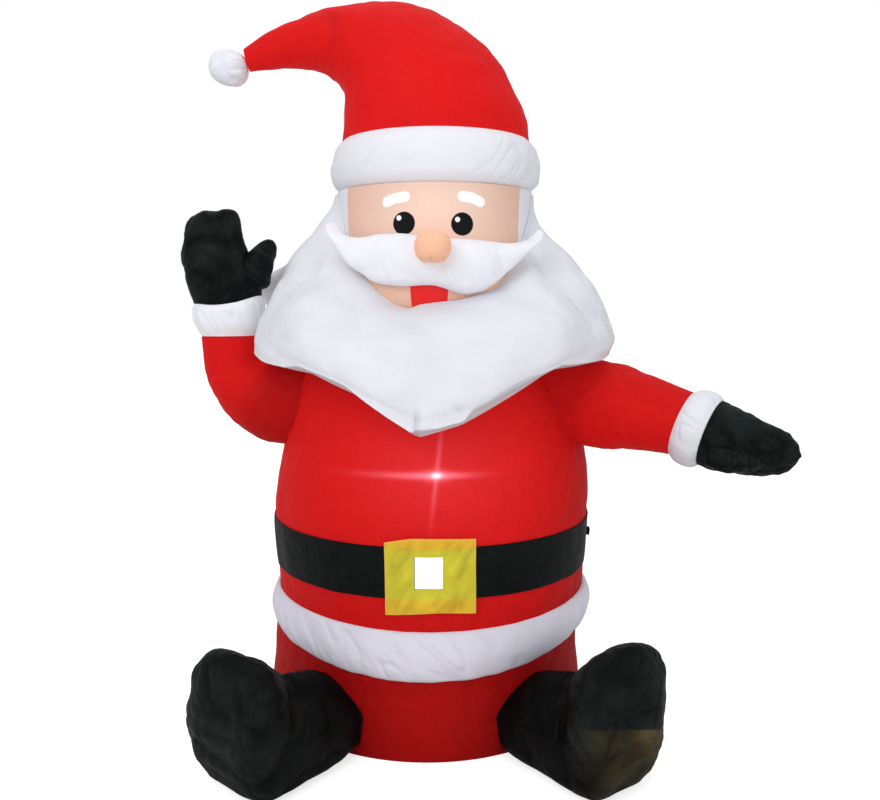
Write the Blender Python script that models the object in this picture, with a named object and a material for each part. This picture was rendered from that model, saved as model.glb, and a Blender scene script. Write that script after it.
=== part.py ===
"""Inflatable santa: a sitting figure of air-filled fabric bags, as closed solids.

Metres, +Z up. The origin is on the floor, on the axis of the belt. The figure
faces -Y. Left and right are the figure's own, so its raised right hand is on the -X side.
An azimuth is in degrees round the body, 0 at the front and growing towards +X.
"""

import math

import bmesh
import bpy
import numpy as np
from mathutils import Vector

# Gaps between bags that are sewn to each other, and how far bags stand off a round neighbour
SEAM_GAP = 0.0005
BODY_GAP = 0.0025
SKIRT_GAP = 0.0045
MERGE = 0.00001
FLOOR_GAP = 0.0002
SEAT_STEPS = 20

# How finely the bags are faceted
COLUMN_SIDES = 40
HAT_SIDES = 28
BOOT_SIDES = 24
SLEEVE_SIDES = 20
HAND_SIDES = 18
SMALL_SIDES = 12
SHARP_ANGLE = 40.0
CAP_SHARES = (0.0, 0.30, 0.60, 0.85)

# Body: height and radius of its outline, from the floor up to the closed neck
BODY_EDGE = 0.2645
BODY_FOOT = 0.2670
BODY_BELLY = 0.2715
NECK_Z = 0.665
NECK = 0.090
BODY_OUTLINE = (
    (0.000, BODY_EDGE),
    (0.008, BODY_FOOT),
    (0.110, 0.2660),
    (0.215, 0.2650),
    (0.290, 0.2680),
    (0.358, BODY_BELLY),
    (0.410, 0.2660),
    (0.450, 0.2585),
    (0.495, 0.2465),
    (0.540, 0.2285),
    (0.580, 0.2020),
    (0.615, 0.1680),
    (0.645, 0.1280),
    (NECK_Z, NECK),
)

# The column leans a little: its middle by height, towards the figure's left
COLUMN_LEAN = (
    (0.000, -0.0040),
    (0.120, -0.0055),
    (0.210, 0.0000),
    (0.360, 0.0005),
    (0.420, 0.0040),
    (0.600, 0.0040),
    (0.870, 0.0055),
    (0.895, 0.0090),
)

# Coat hem: a puffed ring round the body
HEM_Z = 0.1280
HEM_HEIGHT = 0.0770
HEM_LIFT_LOW = 0.0310
HEM_LIFT_HIGH = 0.0100
HEM_PUFF = 0.0115
HEM_THIN = 0.0020
HEM_FULLNESS = 0.6
HEM_STEPS = 6

# Belt, its square buckle with a white patch in the window, and the tab at its left end
BELT_Z = 0.2555
BELT_HEIGHT = 0.0800
BELT_THICK = 0.0020
BUCKLE_FROM = -14.9
BUCKLE_TO = 14.2
BUCKLE_Z = 0.2340
BUCKLE_HEIGHT = 0.1140
BUCKLE_THICK = 0.0030
WINDOW_FROM = -5.3
WINDOW_TO = 3.6
WINDOW_Z = 0.2730
WINDOW_HEIGHT = 0.0500
PATCH_THICK = 0.0022
PATCH_GAP = 0.0004
FRAME_LONG_STEPS = 7
FRAME_SHORT_STEPS = 2
TAB_AZIMUTH = 86.5
TAB_WIDTH = 0.0050
TAB_Z = 0.2900
TAB_HEIGHT = 0.0150
TAB_DEPTH = 0.0080

# Head: height above the neck and radius
HEAD_OUTLINE = (
    (0.0000, 0.1100),
    (0.0100, 0.1380),
    (0.0220, 0.1530),
    (0.0400, 0.1630),
    (0.0750, 0.1670),
    (0.1400, 0.1665),
    (0.2130, 0.1650),
)

# Hat trim: height above the head and radius of the puffed band
TRIM_OUTLINE = (
    (0.0000, 0.1600),
    (0.0100, 0.1715),
    (0.0310, 0.1785),
    (0.0560, 0.1780),
    (0.0760, 0.1690),
    (0.0840, 0.1580),
)

# Hat: each section runs from the inside of the curl to its outside, as distance towards
# the figure's right and height above the trim, with the half width from front to back
HAT_SECTIONS = (
    ((0.1580, 0.0000), (-0.1580, 0.0000), 0.1560),
    ((0.1560, 0.0300), (-0.1520, 0.0430), 0.1520),
    ((0.1565, 0.0560), (-0.1325, 0.0850), 0.1430),
    ((0.1575, 0.0790), (-0.1040, 0.1300), 0.1320),
    ((0.1655, 0.0960), (-0.0570, 0.1765), 0.1180),
    ((0.1790, 0.1095), (0.0050, 0.2135), 0.1020),
    ((0.1970, 0.1190), (0.0750, 0.2280), 0.0820),
    ((0.2220, 0.1240), (0.1520, 0.2220), 0.0600),
    ((0.2520, 0.1240), (0.2280, 0.2000), 0.0430),
    ((0.2830, 0.1215), (0.2770, 0.1815), 0.0310),
    ((0.3130, 0.1195), (0.3220, 0.1530), 0.0180),
)
HAT_ROWS = 13

# Pompom: a rounded, slightly square ball on the hat's tip
POMPOM_CENTRE = (0.3520, 0.1230)
POMPOM_HALF_LENGTH = 0.0315
POMPOM_HALF_HEIGHT = 0.0295
POMPOM_HALF_WIDTH = 0.0300
POMPOM_TURN = 18.0
POMPOM_SQUARE = 0.90
POMPOM_TIP_GAP = 0.0010

# Beard and hair: one collar round the head. Its upper edge and its lower rim go round by
# azimuth and height, and its outer side is given as shares of the way down and radius
BEARD_TOP = (
    (-180, 0.8745), (-74, 0.8745), (-60, 0.815), (-50, 0.764), (-38, 0.733), (-15, 0.691),
    (0, 0.695), (15, 0.700), (36, 0.717), (50, 0.757), (62, 0.807), (78, 0.8745), (180, 0.8745),
)
BEARD_RIM = (
    (-180, 0.614), (-92, 0.622), (-76, 0.617), (-57, 0.600), (-40, 0.594), (-24, 0.563),
    (-10, 0.521), (-3.7, 0.505), (8, 0.519), (22, 0.555), (38, 0.597), (60, 0.606),
    (78, 0.613), (180, 0.614),
)
BEARD_SIDE = (
    (0.00, 0.1705), (0.12, 0.1750), (0.25, 0.1960), (0.43, 0.2470), (0.64, 0.2850),
    (0.82, 0.3060), (0.92, 0.3100), (0.98, 0.2980), (1.00, 0.2720),
)
BEARD_FRONT = (
    (0.00, 0.1730), (0.05, 0.2020), (0.15, 0.2400), (0.29, 0.2760), (0.47, 0.3010),
    (0.67, 0.3140), (0.86, 0.3130), (0.96, 0.3030), (1.00, 0.2830),
)
BEARD_FRONT_TO = 38.0
BEARD_SIDE_FROM = 66.0
BEARD_INNER_STEPS = 4
EDGE_GAP = 0.0022
BEARD_DENT_AZIMUTH = -89.0
BEARD_DENT_SPREAD = 10.5
BEARD_DENT = 0.0260
BEARD_RIGHT_PUFF = 0.0125
BEARD_RIGHT_PUFF_AZIMUTH = -85.0
BEARD_RIGHT_PUFF_SPREAD = 35.0
BEARD_PUFF_FULL = 0.2
BEARD_PUFF_GONE = 0.5
BEARD_DENT_STARTS = 0.3
BEARD_DENT_FULL = 0.7

# Moustache: upper and lower edge by azimuth and height, its two pointed ends, its puff
MOUSTACHE_UPPER = (
    (-57.5, 0.8240), (-50, 0.8030), (-43, 0.7970), (-28, 0.8010), (-14, 0.8000), (0, 0.7930),
    (14, 0.7930), (30, 0.7900), (45, 0.7890), (54, 0.7930), (61.5, 0.8030),
)
MOUSTACHE_LOWER = (
    (-57.5, 0.8200), (-50, 0.7850), (-43, 0.7600), (-33, 0.7360), (-20, 0.7220), (0, 0.7210),
    (18, 0.7080), (28, 0.7160), (38, 0.7390), (49, 0.7680), (61.5, 0.7980),
)
MOUSTACHE_FROM = -57.5
MOUSTACHE_TO = 61.5
MOUSTACHE_PUFF = 0.0340
MOUSTACHE_TIP_PUFF = 0.0040
MOUSTACHE_CREASE = 0.0060
MOUSTACHE_CREASE_SPREAD = 4.0
MOUSTACHE_TAPER = 3.0
MOUSTACHE_GAP = 0.0030
MOUSTACHE_TIP_FLARE = 0.0220
MOUSTACHE_FLARE_FROM = 30.0
MOUSTACHE_ROWS = 22
MOUSTACHE_SIDES = 12

# Nose: a ball pressed against the face and the moustache
NOSE_AZIMUTH = -0.6
NOSE_DISTANCE = 0.2150
NOSE_Z = 0.7780
NOSE_HALF_WIDTH = 0.0275
NOSE_HALF_HEIGHT = 0.0240
NOSE_HALF_DEPTH = 0.0300
NOSE_GAP = 0.0022

# Raised right arm, in a vertical plane through the body's axis. Each section runs from the
# inside of the bend to its outside, as distance from the axis and height, with half width
RIGHT_ARM_AZIMUTH = -88.0
RIGHT_SLEEVE_SECTIONS = (
    ((0.2300, 0.6030), (0.2300, 0.4490), 0.0720),
    ((0.2600, 0.6010), (0.2890, 0.4575), 0.0710),
    ((0.2760, 0.5980), (0.3395, 0.4895), 0.0650),
    ((0.2850, 0.5960), (0.3735, 0.5350), 0.0580),
    ((0.2930, 0.6030), (0.3890, 0.5850), 0.0520),
    ((0.2950, 0.6390), (0.3930, 0.6380), 0.0490),
)
RIGHT_CUFF_SECTIONS = (
    ((0.2935, 0.6400), (0.3945, 0.6390), 0.0510),
    ((0.2870, 0.6560), (0.4035, 0.6530), 0.0575),
    ((0.2845, 0.6730), (0.4070, 0.6680), 0.0590),
    ((0.2850, 0.6910), (0.4070, 0.6840), 0.0580),
    ((0.2885, 0.7000), (0.4035, 0.6930), 0.0510),
)
RIGHT_HAND_SECTIONS = (
    ((0.2885, 0.7010), (0.4030, 0.6940), 0.0450),
    ((0.2915, 0.7325), (0.4155, 0.7305), 0.0480),
    ((0.3010, 0.7615), (0.4190, 0.7635), 0.0460),
    ((0.3095, 0.7915), (0.4165, 0.7950), 0.0410),
    ((0.3145, 0.8175), (0.4070, 0.8235), 0.0340),
    ((0.3240, 0.8355), (0.3930, 0.8410), 0.0250),
    ((0.3420, 0.8450), (0.3760, 0.8480), 0.0130),
    ((0.3590, 0.8490), (0.3590, 0.8490), 0.0000),
)
RIGHT_THUMB_SECTIONS = (
    ((0.3400, 0.7380), (0.3005, 0.7070), 0.0300),
    ((0.3200, 0.7610), (0.2770, 0.7200), 0.0340),
    ((0.3060, 0.7765), (0.2685, 0.7430), 0.0310),
    ((0.2920, 0.7895), (0.2620, 0.7650), 0.0250),
    ((0.2815, 0.7945), (0.2585, 0.7805), 0.0170),
    ((0.2725, 0.7955), (0.2610, 0.7895), 0.0090),
    ((0.2655, 0.7945), (0.2655, 0.7945), 0.0000),
)
RIGHT_SWAY_Z = 0.640
RIGHT_SWAY = 0.12

# Left arm, held out and forward. Sections run from the lower side to the upper side
LEFT_ROOT_AZIMUTH = 75.5
LEFT_ROOT_RADIUS = 0.234
LEFT_ARM_AZIMUTH = 58.0
LEFT_SLEEVE_SECTIONS = (
    ((0.0200, 0.4600), (-0.0150, 0.6060), 0.0730),
    ((0.0640, 0.4575), (0.0720, 0.6010), 0.0700),
    ((0.1200, 0.4590), (0.1450, 0.5790), 0.0620),
    ((0.1840, 0.4555), (0.2160, 0.5545), 0.0520),
)
LEFT_CUFF_SECTIONS = (
    ((0.1845, 0.4545), (0.2170, 0.5555), 0.0540),
    ((0.1930, 0.4450), (0.2280, 0.5600), 0.0600),
    ((0.2045, 0.4395), (0.2400, 0.5590), 0.0615),
    ((0.2160, 0.4385), (0.2520, 0.5540), 0.0600),
    ((0.2270, 0.4425), (0.2600, 0.5455), 0.0530),
)
LEFT_HAND_SECTIONS = (
    ((0.2280, 0.4430), (0.2605, 0.5445), 0.0500),
    ((0.2620, 0.4370), (0.2900, 0.5310), 0.0480),
    ((0.2970, 0.4355), (0.3180, 0.5190), 0.0430),
    ((0.3300, 0.4390), (0.3430, 0.5070), 0.0360),
    ((0.3530, 0.4455), (0.3600, 0.4970), 0.0270),
    ((0.3690, 0.4560), (0.3710, 0.4850), 0.0150),
    ((0.3780, 0.4690), (0.3780, 0.4690), 0.0000),
)
LEFT_THUMB_SECTIONS = (
    ((0.2480, 0.4470), (0.2580, 0.4900), 0.0180),
    ((0.2750, 0.4420), (0.2830, 0.4840), 0.0210),
    ((0.3030, 0.4430), (0.3090, 0.4780), 0.0190),
    ((0.3230, 0.4480), (0.3270, 0.4700), 0.0120),
    ((0.3340, 0.4580), (0.3340, 0.4580), 0.0000),
)
LEFT_THUMB_OFFSET = 0.0330

# Boots: sections fan round the ankle from the instep to the sole, by distance and height.
# Their lower and outer side is fuller than an ellipse, and the toes turn in a little
BOOT_AZIMUTH = 38.5
BOOT_MIDDLE = -0.0020
BOOT_TOE_IN_Z = 0.080
BOOT_TOE_IN = 0.08
BOOT_FULLNESS = 0.50
BOOT_SECTIONS = (
    ((0.2640, 0.1160), (0.2640, 0.0100), 0.0780),
    ((0.3000, 0.1330), (0.3000, 0.0020), 0.0810),
    ((0.3330, 0.1430), (0.3500, 0.0000), 0.0820),
    ((0.3540, 0.1460), (0.4050, 0.0000), 0.0840),
    ((0.3670, 0.1520), (0.4480, 0.0050), 0.0845),
    ((0.3800, 0.1620), (0.4720, 0.0410), 0.0850),
    ((0.3930, 0.1730), (0.4820, 0.0880), 0.0840),
    ((0.4060, 0.1840), (0.4820, 0.1310), 0.0810),
    ((0.4200, 0.1950), (0.4760, 0.1690), 0.0720),
    ((0.4360, 0.2025), (0.4630, 0.1940), 0.0480),
    ((0.4510, 0.2055), (0.4510, 0.2055), 0.0000),
)
BOOT_ROWS = 13

# Colours as red, green and blue shares of linear light, and roughness
RED = ((0.62, 0.012, 0.010), 0.75)
WHITE = ((0.86, 0.86, 0.90), 0.80)
BLACK = ((0.010, 0.012, 0.011), 0.70)
YELLOW = ((0.62, 0.50, 0.055), 0.70)
FLESH = ((0.86, 0.62, 0.48), 0.75)


def material(name, finish):
    """A plain Principled material of one colour."""
    made = bpy.data.materials.new(name)
    made.use_nodes = True
    shader = made.node_tree.nodes["Principled BSDF"]
    colour, roughness = finish
    shader.inputs["Base Color"].default_value = (*colour, 1.0)
    shader.inputs["Roughness"].default_value = roughness
    shader.inputs["Metallic"].default_value = 0.0
    return made


def finished(name, bm, finish):
    """The bmesh as a named, smooth-shaded object with a material of its own."""
    bmesh.ops.remove_doubles(bm, verts=bm.verts, dist=MERGE)
    bmesh.ops.recalc_face_normals(bm, faces=bm.faces)
    mesh = bpy.data.meshes.new(name)
    bm.to_mesh(mesh)
    bm.free()
    mesh.shade_smooth()
    mesh.set_sharp_from_angle(angle=math.radians(SHARP_ANGLE))
    mesh.materials.append(material(name, finish))
    piece = bpy.data.objects.new(name, mesh)
    bpy.context.scene.collection.objects.link(piece)
    return piece


def wrap(name, place, sides, rows, finish):
    """A closed bag: a grid with its columns laid round and its rows along place(angle, row)."""
    bm = bmesh.new()
    bmesh.ops.create_grid(bm, x_segments=sides, y_segments=rows, size=0.5)
    for vert in bm.verts:
        column = round((vert.co.x + 0.5) * sides)
        row = round((vert.co.y + 0.5) * rows)
        vert.co = place(math.tau * (column % sides) / sides, row)
    return finished(name, bm, finish)


def smooth_rows(keys, count):
    """Rows of numbers at even shares along a smooth Catmull-Rom curve through the keys."""
    keys = np.array(keys, float)
    padded = np.vstack([2 * keys[0] - keys[1], keys, 2 * keys[-1] - keys[-2]])
    rows = []
    for share in np.linspace(0, len(keys) - 1, count):
        index = min(int(share), len(keys) - 2)
        t = share - index
        a, b, c, d = padded[index : index + 4]
        rows.append(
            0.5 * (2 * b + (c - a) * t + (2 * a - 5 * b + 4 * c - d) * t**2
                   + (3 * b - a - 3 * c + d) * t**3)
        )
    return rows


def between(table, at):
    """The value at a place in a table of (place, value), straight between its rows."""
    return float(np.interp(at, [row[0] for row in table], [row[1] for row in table]))


def eased(at, start, end):
    """0 before start and 1 after end, with a smooth step between them."""
    share = min(max((at - start) / (end - start), 0.0), 1.0)
    return share * share * (3 - 2 * share)


def upright(azimuth, radius, z):
    """A point at this azimuth in degrees, radius and height, leaning with the column."""
    turn = math.radians(azimuth)
    middle = between(COLUMN_LEAN, z)
    return Vector((radius * math.sin(turn) + middle, -radius * math.cos(turn), z))


def signed(angle):
    """An angle in radians as an azimuth from -180 up to 180 degrees."""
    azimuth = math.degrees(angle)
    return azimuth - 360 if azimuth >= 180 else azimuth


def body_radius(z):
    return between(BODY_OUTLINE, z)


HEAD_Z = NECK_Z + SEAM_GAP
HEAD_TOP_Z = HEAD_Z + HEAD_OUTLINE[-1][0]
TRIM_Z = HEAD_TOP_Z + SEAM_GAP
TRIM_TOP_Z = TRIM_Z + TRIM_OUTLINE[-1][0]
HAT_Z = TRIM_TOP_Z + SEAM_GAP
HAT_LEAN = COLUMN_LEAN[-1][1]


def head_radius(z):
    return between(HEAD_OUTLINE, z - HEAD_Z)


def turned(name, outline, base_z, finish):
    """A bag turned round the column from (height, radius) rows, closed flat at both ends."""
    rows = [(outline[0][0], 0.0), *outline, (outline[-1][0], 0.0)]

    def place(angle, row):
        height, radius = rows[row]
        return upright(signed(angle), radius, base_z + height)

    return wrap(name, place, COLUMN_SIDES, len(rows) - 1, finish)


def ring(name, loop, finish):
    """A ring round the column with this closed loop of (radius, height) as its section."""

    def place(angle, row):
        radius, z = loop[row % len(loop)]
        return upright(signed(angle), radius, z)

    return wrap(name, place, COLUMN_SIDES, len(loop), finish)


def hem_edges(azimuth):
    """The hem's lower and upper height, both lifted at the figure's sides."""
    lift = math.sin(math.radians(azimuth)) ** 2
    return HEM_Z + HEM_LIFT_LOW * lift, HEM_Z + HEM_HEIGHT + HEM_LIFT_HIGH * lift


def make_body():
    turned("body", BODY_OUTLINE, 0.0, RED)


def make_coat_hem():
    """The ring lies on the body and puffs out between its two seams."""
    rows = HEM_STEPS + 3

    def place(angle, row):
        azimuth = signed(angle)
        low, high = hem_edges(azimuth)
        if row % rows > HEM_STEPS:
            z = high if row % rows == HEM_STEPS + 1 else low
            return upright(azimuth, body_radius(z) + SEAM_GAP, z)
        share = row % rows / HEM_STEPS
        z = low + (high - low) * share
        puff = HEM_THIN + HEM_PUFF * max(math.sin(math.pi * share), 0.0) ** HEM_FULLNESS
        return upright(azimuth, body_radius(z) + SEAM_GAP + puff, z)

    wrap("coat_hem", place, COLUMN_SIDES, rows, WHITE)


def belt_loop_radii():
    """The belt's inner radius at its lower and its upper edge."""
    return [body_radius(z) + SEAM_GAP for z in (BELT_Z, BELT_Z + BELT_HEIGHT)]


def belt_outside(z):
    """The belt's outer radius at a height, carried on straight past its edges."""
    low, high = belt_loop_radii()
    return low + (high - low) * (z - BELT_Z) / BELT_HEIGHT + BELT_THICK


def make_belt():
    """A flat band bent round the body."""
    low, high = belt_loop_radii()
    top = BELT_Z + BELT_HEIGHT
    loop = [
        (low, BELT_Z),
        (low + BELT_THICK, BELT_Z),
        (high + BELT_THICK, top),
        (high, top),
    ]
    ring("belt", loop, BLACK)


def make_buckle():
    """A square frame bent round the belt, as a small section taken round its window."""
    steps = []
    corners = (
        (0, 0, FRAME_LONG_STEPS),
        (1, 0, FRAME_SHORT_STEPS),
        (1, 1, FRAME_LONG_STEPS),
        (0, 1, FRAME_SHORT_STEPS),
    )
    for index, (across, up, count) in enumerate(corners):
        next_across, next_up, _ = corners[(index + 1) % 4]
        for step in range(count):
            share = step / count
            steps.append(
                (across + (next_across - across) * share, up + (next_up - up) * share)
            )

    def place(angle, row):
        across, up = steps[row % len(steps)]
        inside, front = ((0, 0), (0, 1), (1, 1), (1, 0))[round(angle / math.tau * 4) % 4]
        outer = (
            BUCKLE_FROM + (BUCKLE_TO - BUCKLE_FROM) * across,
            BUCKLE_Z + BUCKLE_HEIGHT * up,
        )
        inner = (
            WINDOW_FROM + (WINDOW_TO - WINDOW_FROM) * across,
            WINDOW_Z + WINDOW_HEIGHT * up,
        )
        azimuth, z = inner if inside else outer
        return upright(azimuth, buckle_back(z) + BUCKLE_THICK * front, z)

    wrap("buckle", place, 4, len(steps), YELLOW)


def buckle_back(z):
    return belt_outside(z) + BODY_GAP


def plate(name, azimuths, heights, radii, steps, finish):
    """A small closed plate bent round the column, between two azimuths, heights and radii."""

    def place(angle, row):
        share = min(max((row - 1) / steps, 0.0), 1.0)
        azimuth = azimuths[0] + (azimuths[1] - azimuths[0]) * share
        if row in (0, steps + 2):
            middle = sum(heights) / 2
            return upright(azimuth, (radii[0](middle) + radii[1](middle)) / 2, middle)
        front, up = ((0, 0), (1, 0), (1, 1), (0, 1))[round(angle / math.tau * 4) % 4]
        return upright(azimuth, radii[front](heights[up]), heights[up])

    return wrap(name, place, 4, steps + 2, finish)


def make_buckle_centre():
    """The white patch that fills the buckle's window."""
    gap = math.degrees(PATCH_GAP / belt_outside(WINDOW_Z))
    plate(
        "buckle_centre",
        (WINDOW_FROM + gap, WINDOW_TO - gap),
        (WINDOW_Z + PATCH_GAP, WINDOW_Z + WINDOW_HEIGHT - PATCH_GAP),
        (buckle_back, lambda z: buckle_back(z) + PATCH_THICK),
        FRAME_SHORT_STEPS,
        WHITE,
    )


def make_tether_tab():
    """The short tab of webbing that stands out of the belt's left end."""
    half = math.degrees(TAB_WIDTH / 2 / belt_outside(TAB_Z))
    plate(
        "tether_tab",
        (TAB_AZIMUTH - half, TAB_AZIMUTH + half),
        (TAB_Z, TAB_Z + TAB_HEIGHT),
        (
            lambda z: belt_outside(z) + SEAM_GAP,
            lambda z: belt_outside(z) + SEAM_GAP + TAB_DEPTH,
        ),
        1,
        BLACK,
    )


def make_head():
    turned("head", HEAD_OUTLINE, HEAD_Z, FLESH)


def make_hat_trim():
    turned("hat_trim", TRIM_OUTLINE, TRIM_Z, WHITE)


def beard_outline(azimuth):
    """The outer side of the beard at an azimuth, from its upper edge down, as (z, radius)."""
    top = between(BEARD_TOP, azimuth)
    rim = between(BEARD_RIM, azimuth)
    sideways = eased(abs(azimuth), BEARD_FRONT_TO, BEARD_SIDE_FROM)
    away = (azimuth - BEARD_DENT_AZIMUTH) / BEARD_DENT_SPREAD
    dent = BEARD_DENT * math.exp(-away * away)
    away = (azimuth - BEARD_RIGHT_PUFF_AZIMUTH) / BEARD_RIGHT_PUFF_SPREAD
    puff = BEARD_RIGHT_PUFF * math.exp(-away * away)
    outline = []
    for front, side in zip(BEARD_FRONT, BEARD_SIDE):
        share = front[0] + (side[0] - front[0]) * sideways
        radius = front[1] + (side[1] - front[1]) * sideways
        radius += puff * eased(share, 0.0, BEARD_PUFF_FULL)
        radius -= puff * eased(share, BEARD_PUFF_FULL, BEARD_PUFF_GONE)
        radius -= dent * eased(share, BEARD_DENT_STARTS, BEARD_DENT_FULL)
        outline.append((top + (rim - top) * share, radius))
    return outline


def column_radius(z):
    """The outermost of the body and the head at a height."""
    return body_radius(z) if z < HEAD_Z else head_radius(z)


def beard_seat(z, reach):
    """The beard's inner radius, clear of the shoulders and the head within reach of z."""
    widest = max(column_radius(z + step * reach) for step in (-1.0, -0.5, 0.0, 0.5, 1.0))
    return widest + SKIRT_GAP


def make_beard():
    def place(angle, row):
        azimuth = signed(angle)
        outline = beard_outline(azimuth)
        if row % rows < len(outline):
            z, radius = outline[row % rows]
            return upright(azimuth, radius, z)
        share = (row % rows - len(outline)) / BEARD_INNER_STEPS
        rim, top = outline[-1][0], outline[0][0]
        z = rim + (top - rim) * share
        if share == 1:
            return upright(azimuth, head_radius(z) + EDGE_GAP, z)
        return upright(azimuth, beard_seat(z, (top - rim) / BEARD_INNER_STEPS / 2), z)

    rows = len(BEARD_SIDE) + BEARD_INNER_STEPS + 1
    wrap("beard", place, COLUMN_SIDES, rows, WHITE)


def face_radius(azimuth, z):
    """The outermost of the head and the beard at this azimuth and height."""
    outline = beard_outline(azimuth)
    radius = head_radius(z)
    if outline[-1][0] <= z <= outline[0][0]:
        heights = [row[0] for row in outline][::-1]
        radii = [row[1] for row in outline][::-1]
        radius = max(radius, float(np.interp(z, heights, radii)))
    return radius


def moustache_seat(azimuth, z):
    """The radius of the moustache's back, which stands off the face towards its ends."""
    half = MOUSTACHE_TO if azimuth > 0 else -MOUSTACHE_FROM
    flare = MOUSTACHE_TIP_FLARE * eased(abs(azimuth), MOUSTACHE_FLARE_FROM, half)
    return face_radius(azimuth, z) + MOUSTACHE_GAP + flare


def moustache_puff(azimuth):
    """How far the moustache stands out in its middle line, with its crease under the nose."""
    half = MOUSTACHE_TO if azimuth > 0 else -MOUSTACHE_FROM
    fullness = math.sqrt(max(1 - (abs(azimuth) / half) ** MOUSTACHE_TAPER, 0.0))
    crease = MOUSTACHE_CREASE * math.exp(-((azimuth / MOUSTACHE_CREASE_SPREAD) ** 2))
    return MOUSTACHE_TIP_PUFF + (MOUSTACHE_PUFF - MOUSTACHE_TIP_PUFF) * fullness - crease


def moustache_outside(azimuth, z):
    """The moustache's outer radius at this azimuth and height, or None past its edges."""
    if not MOUSTACHE_FROM < azimuth < MOUSTACHE_TO:
        return None
    low = between(MOUSTACHE_LOWER, azimuth)
    high = between(MOUSTACHE_UPPER, azimuth)
    across = (2 * z - low - high) / (high - low)
    if abs(across) > 1:
        return None
    puff = moustache_puff(azimuth) * math.sqrt(1 - across * across)
    return moustache_seat(azimuth, z) + puff


def make_moustache():
    """A pad with two pointed ends, its back laid on the head and over the beard's edge."""

    def place(angle, row):
        share = row / MOUSTACHE_ROWS
        azimuth = MOUSTACHE_FROM + (MOUSTACHE_TO - MOUSTACHE_FROM) * share
        low = between(MOUSTACHE_LOWER, azimuth)
        high = between(MOUSTACHE_UPPER, azimuth)
        across = 0.0 if row in (0, MOUSTACHE_ROWS) else math.cos(angle)
        z = (low + high) / 2 + (high - low) / 2 * across
        radius = moustache_seat(azimuth, z)
        if 0 < row < MOUSTACHE_ROWS:
            radius += moustache_puff(azimuth) * max(math.sin(angle), 0.0)
        return upright(azimuth, radius, z)

    wrap("moustache", place, MOUSTACHE_SIDES, MOUSTACHE_ROWS, WHITE)


def make_nose():
    rows = SMALL_SIDES // 2 + 1

    def place(angle, row):
        polar = math.pi * row / rows
        aside = NOSE_HALF_WIDTH * math.sin(polar) * math.cos(angle)
        ahead = NOSE_HALF_DEPTH * math.sin(polar) * math.sin(angle)
        z = NOSE_Z + NOSE_HALF_HEIGHT * math.cos(polar)
        azimuth = NOSE_AZIMUTH + math.degrees(aside / NOSE_DISTANCE)
        support = moustache_outside(azimuth, z) or face_radius(azimuth, z)
        return upright(azimuth, max(NOSE_DISTANCE + ahead, support + NOSE_GAP), z)

    wrap("nose", place, SMALL_SIDES, rows, FLESH)


class Plane:
    """An upright plane: a distance along a heading, a height, and an offset off the plane.

    Above and below lean_z its points are carried along the vector lean for each metre.
    """

    def __init__(self, azimuth, origin=(0.0, 0.0), base_z=0.0, lean_z=0.0, lean=(0.0, 0.0)):
        turn = math.radians(azimuth)
        self.outward = Vector((math.sin(turn), -math.cos(turn), 0.0))
        self.aside = Vector((math.cos(turn), math.sin(turn), 0.0))
        self.origin = Vector((*origin, base_z))
        self.lean_z = lean_z
        self.lean = Vector((*lean, 0.0))

    def point(self, distance, height, offset):
        return (
            self.origin
            + self.outward * distance
            + self.aside * offset
            + self.lean * (height - self.lean_z)
            + Vector((0.0, 0.0, height))
        )


def seated(point, outward):
    """The point slid along outward until it clears the body by BODY_GAP."""
    for _ in range(SEAT_STEPS):
        aside = point.x - between(COLUMN_LEAN, point.z)
        radius = math.hypot(aside, point.y)
        slope = (aside * outward.x + point.y * outward.y) / radius
        point = point + outward * ((body_radius(point.z) + BODY_GAP - radius) / slope)
    return point


def flat_rows(sections):
    """Sections as plain rows of five numbers."""
    return [(*near, *far, half) for near, far, half in sections]


def bag(name, plane, sections, rows, sides, finish, on_body=False, fullness=1.0):
    """A closed bag through sections, each an ellipse between two points of the plane.

    With on_body, its first section and the cap inside it are seated on the body. Otherwise
    the bag is closed flat there. A last section of no size closes the far end by itself.
    A fullness under 1 squares the half of each section that is on its second point's side.
    """
    rings = smooth_rows(flat_rows(sections), rows)
    caps = CAP_SHARES if on_body else (0.0,)
    open_end = rings[-1][4] > 0
    last = len(caps) + len(rings) - 1 + int(open_end)

    def place(angle, row):
        size = 1.0
        if row < len(caps):
            ring_row, size = rings[0], caps[row]
        elif row - len(caps) < len(rings):
            ring_row = rings[row - len(caps)]
        else:
            ring_row, size = rings[-1], 0.0
        near, far, half = ring_row[:2], ring_row[2:4], ring_row[4]
        across, aside = math.cos(angle), math.sin(angle)
        if across > 0:
            across = across**fullness
            aside = math.copysign(abs(aside) ** fullness, aside)
        distance, height = (near + far) / 2 + (far - near) / 2 * across * size
        point = plane.point(distance, height, half * aside * size)
        if on_body and row <= len(caps):
            return seated(point, plane.outward)
        return point

    return wrap(name, place, sides, last, finish)


def joined(whole, part):
    """The first bag with the second grown into it, as one closed solid."""
    union = whole.modifiers.new("thumb", "BOOLEAN")
    union.operation = "UNION"
    union.solver = "EXACT"
    union.object = part
    bpy.context.view_layer.update()
    graph = bpy.context.evaluated_depsgraph_get()
    mesh = bpy.data.meshes.new_from_object(whole.evaluated_get(graph))
    whole.modifiers.clear()
    old = whole.data
    whole.data = mesh
    bpy.data.meshes.remove(old)
    bpy.data.objects.remove(part)
    return whole


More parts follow.
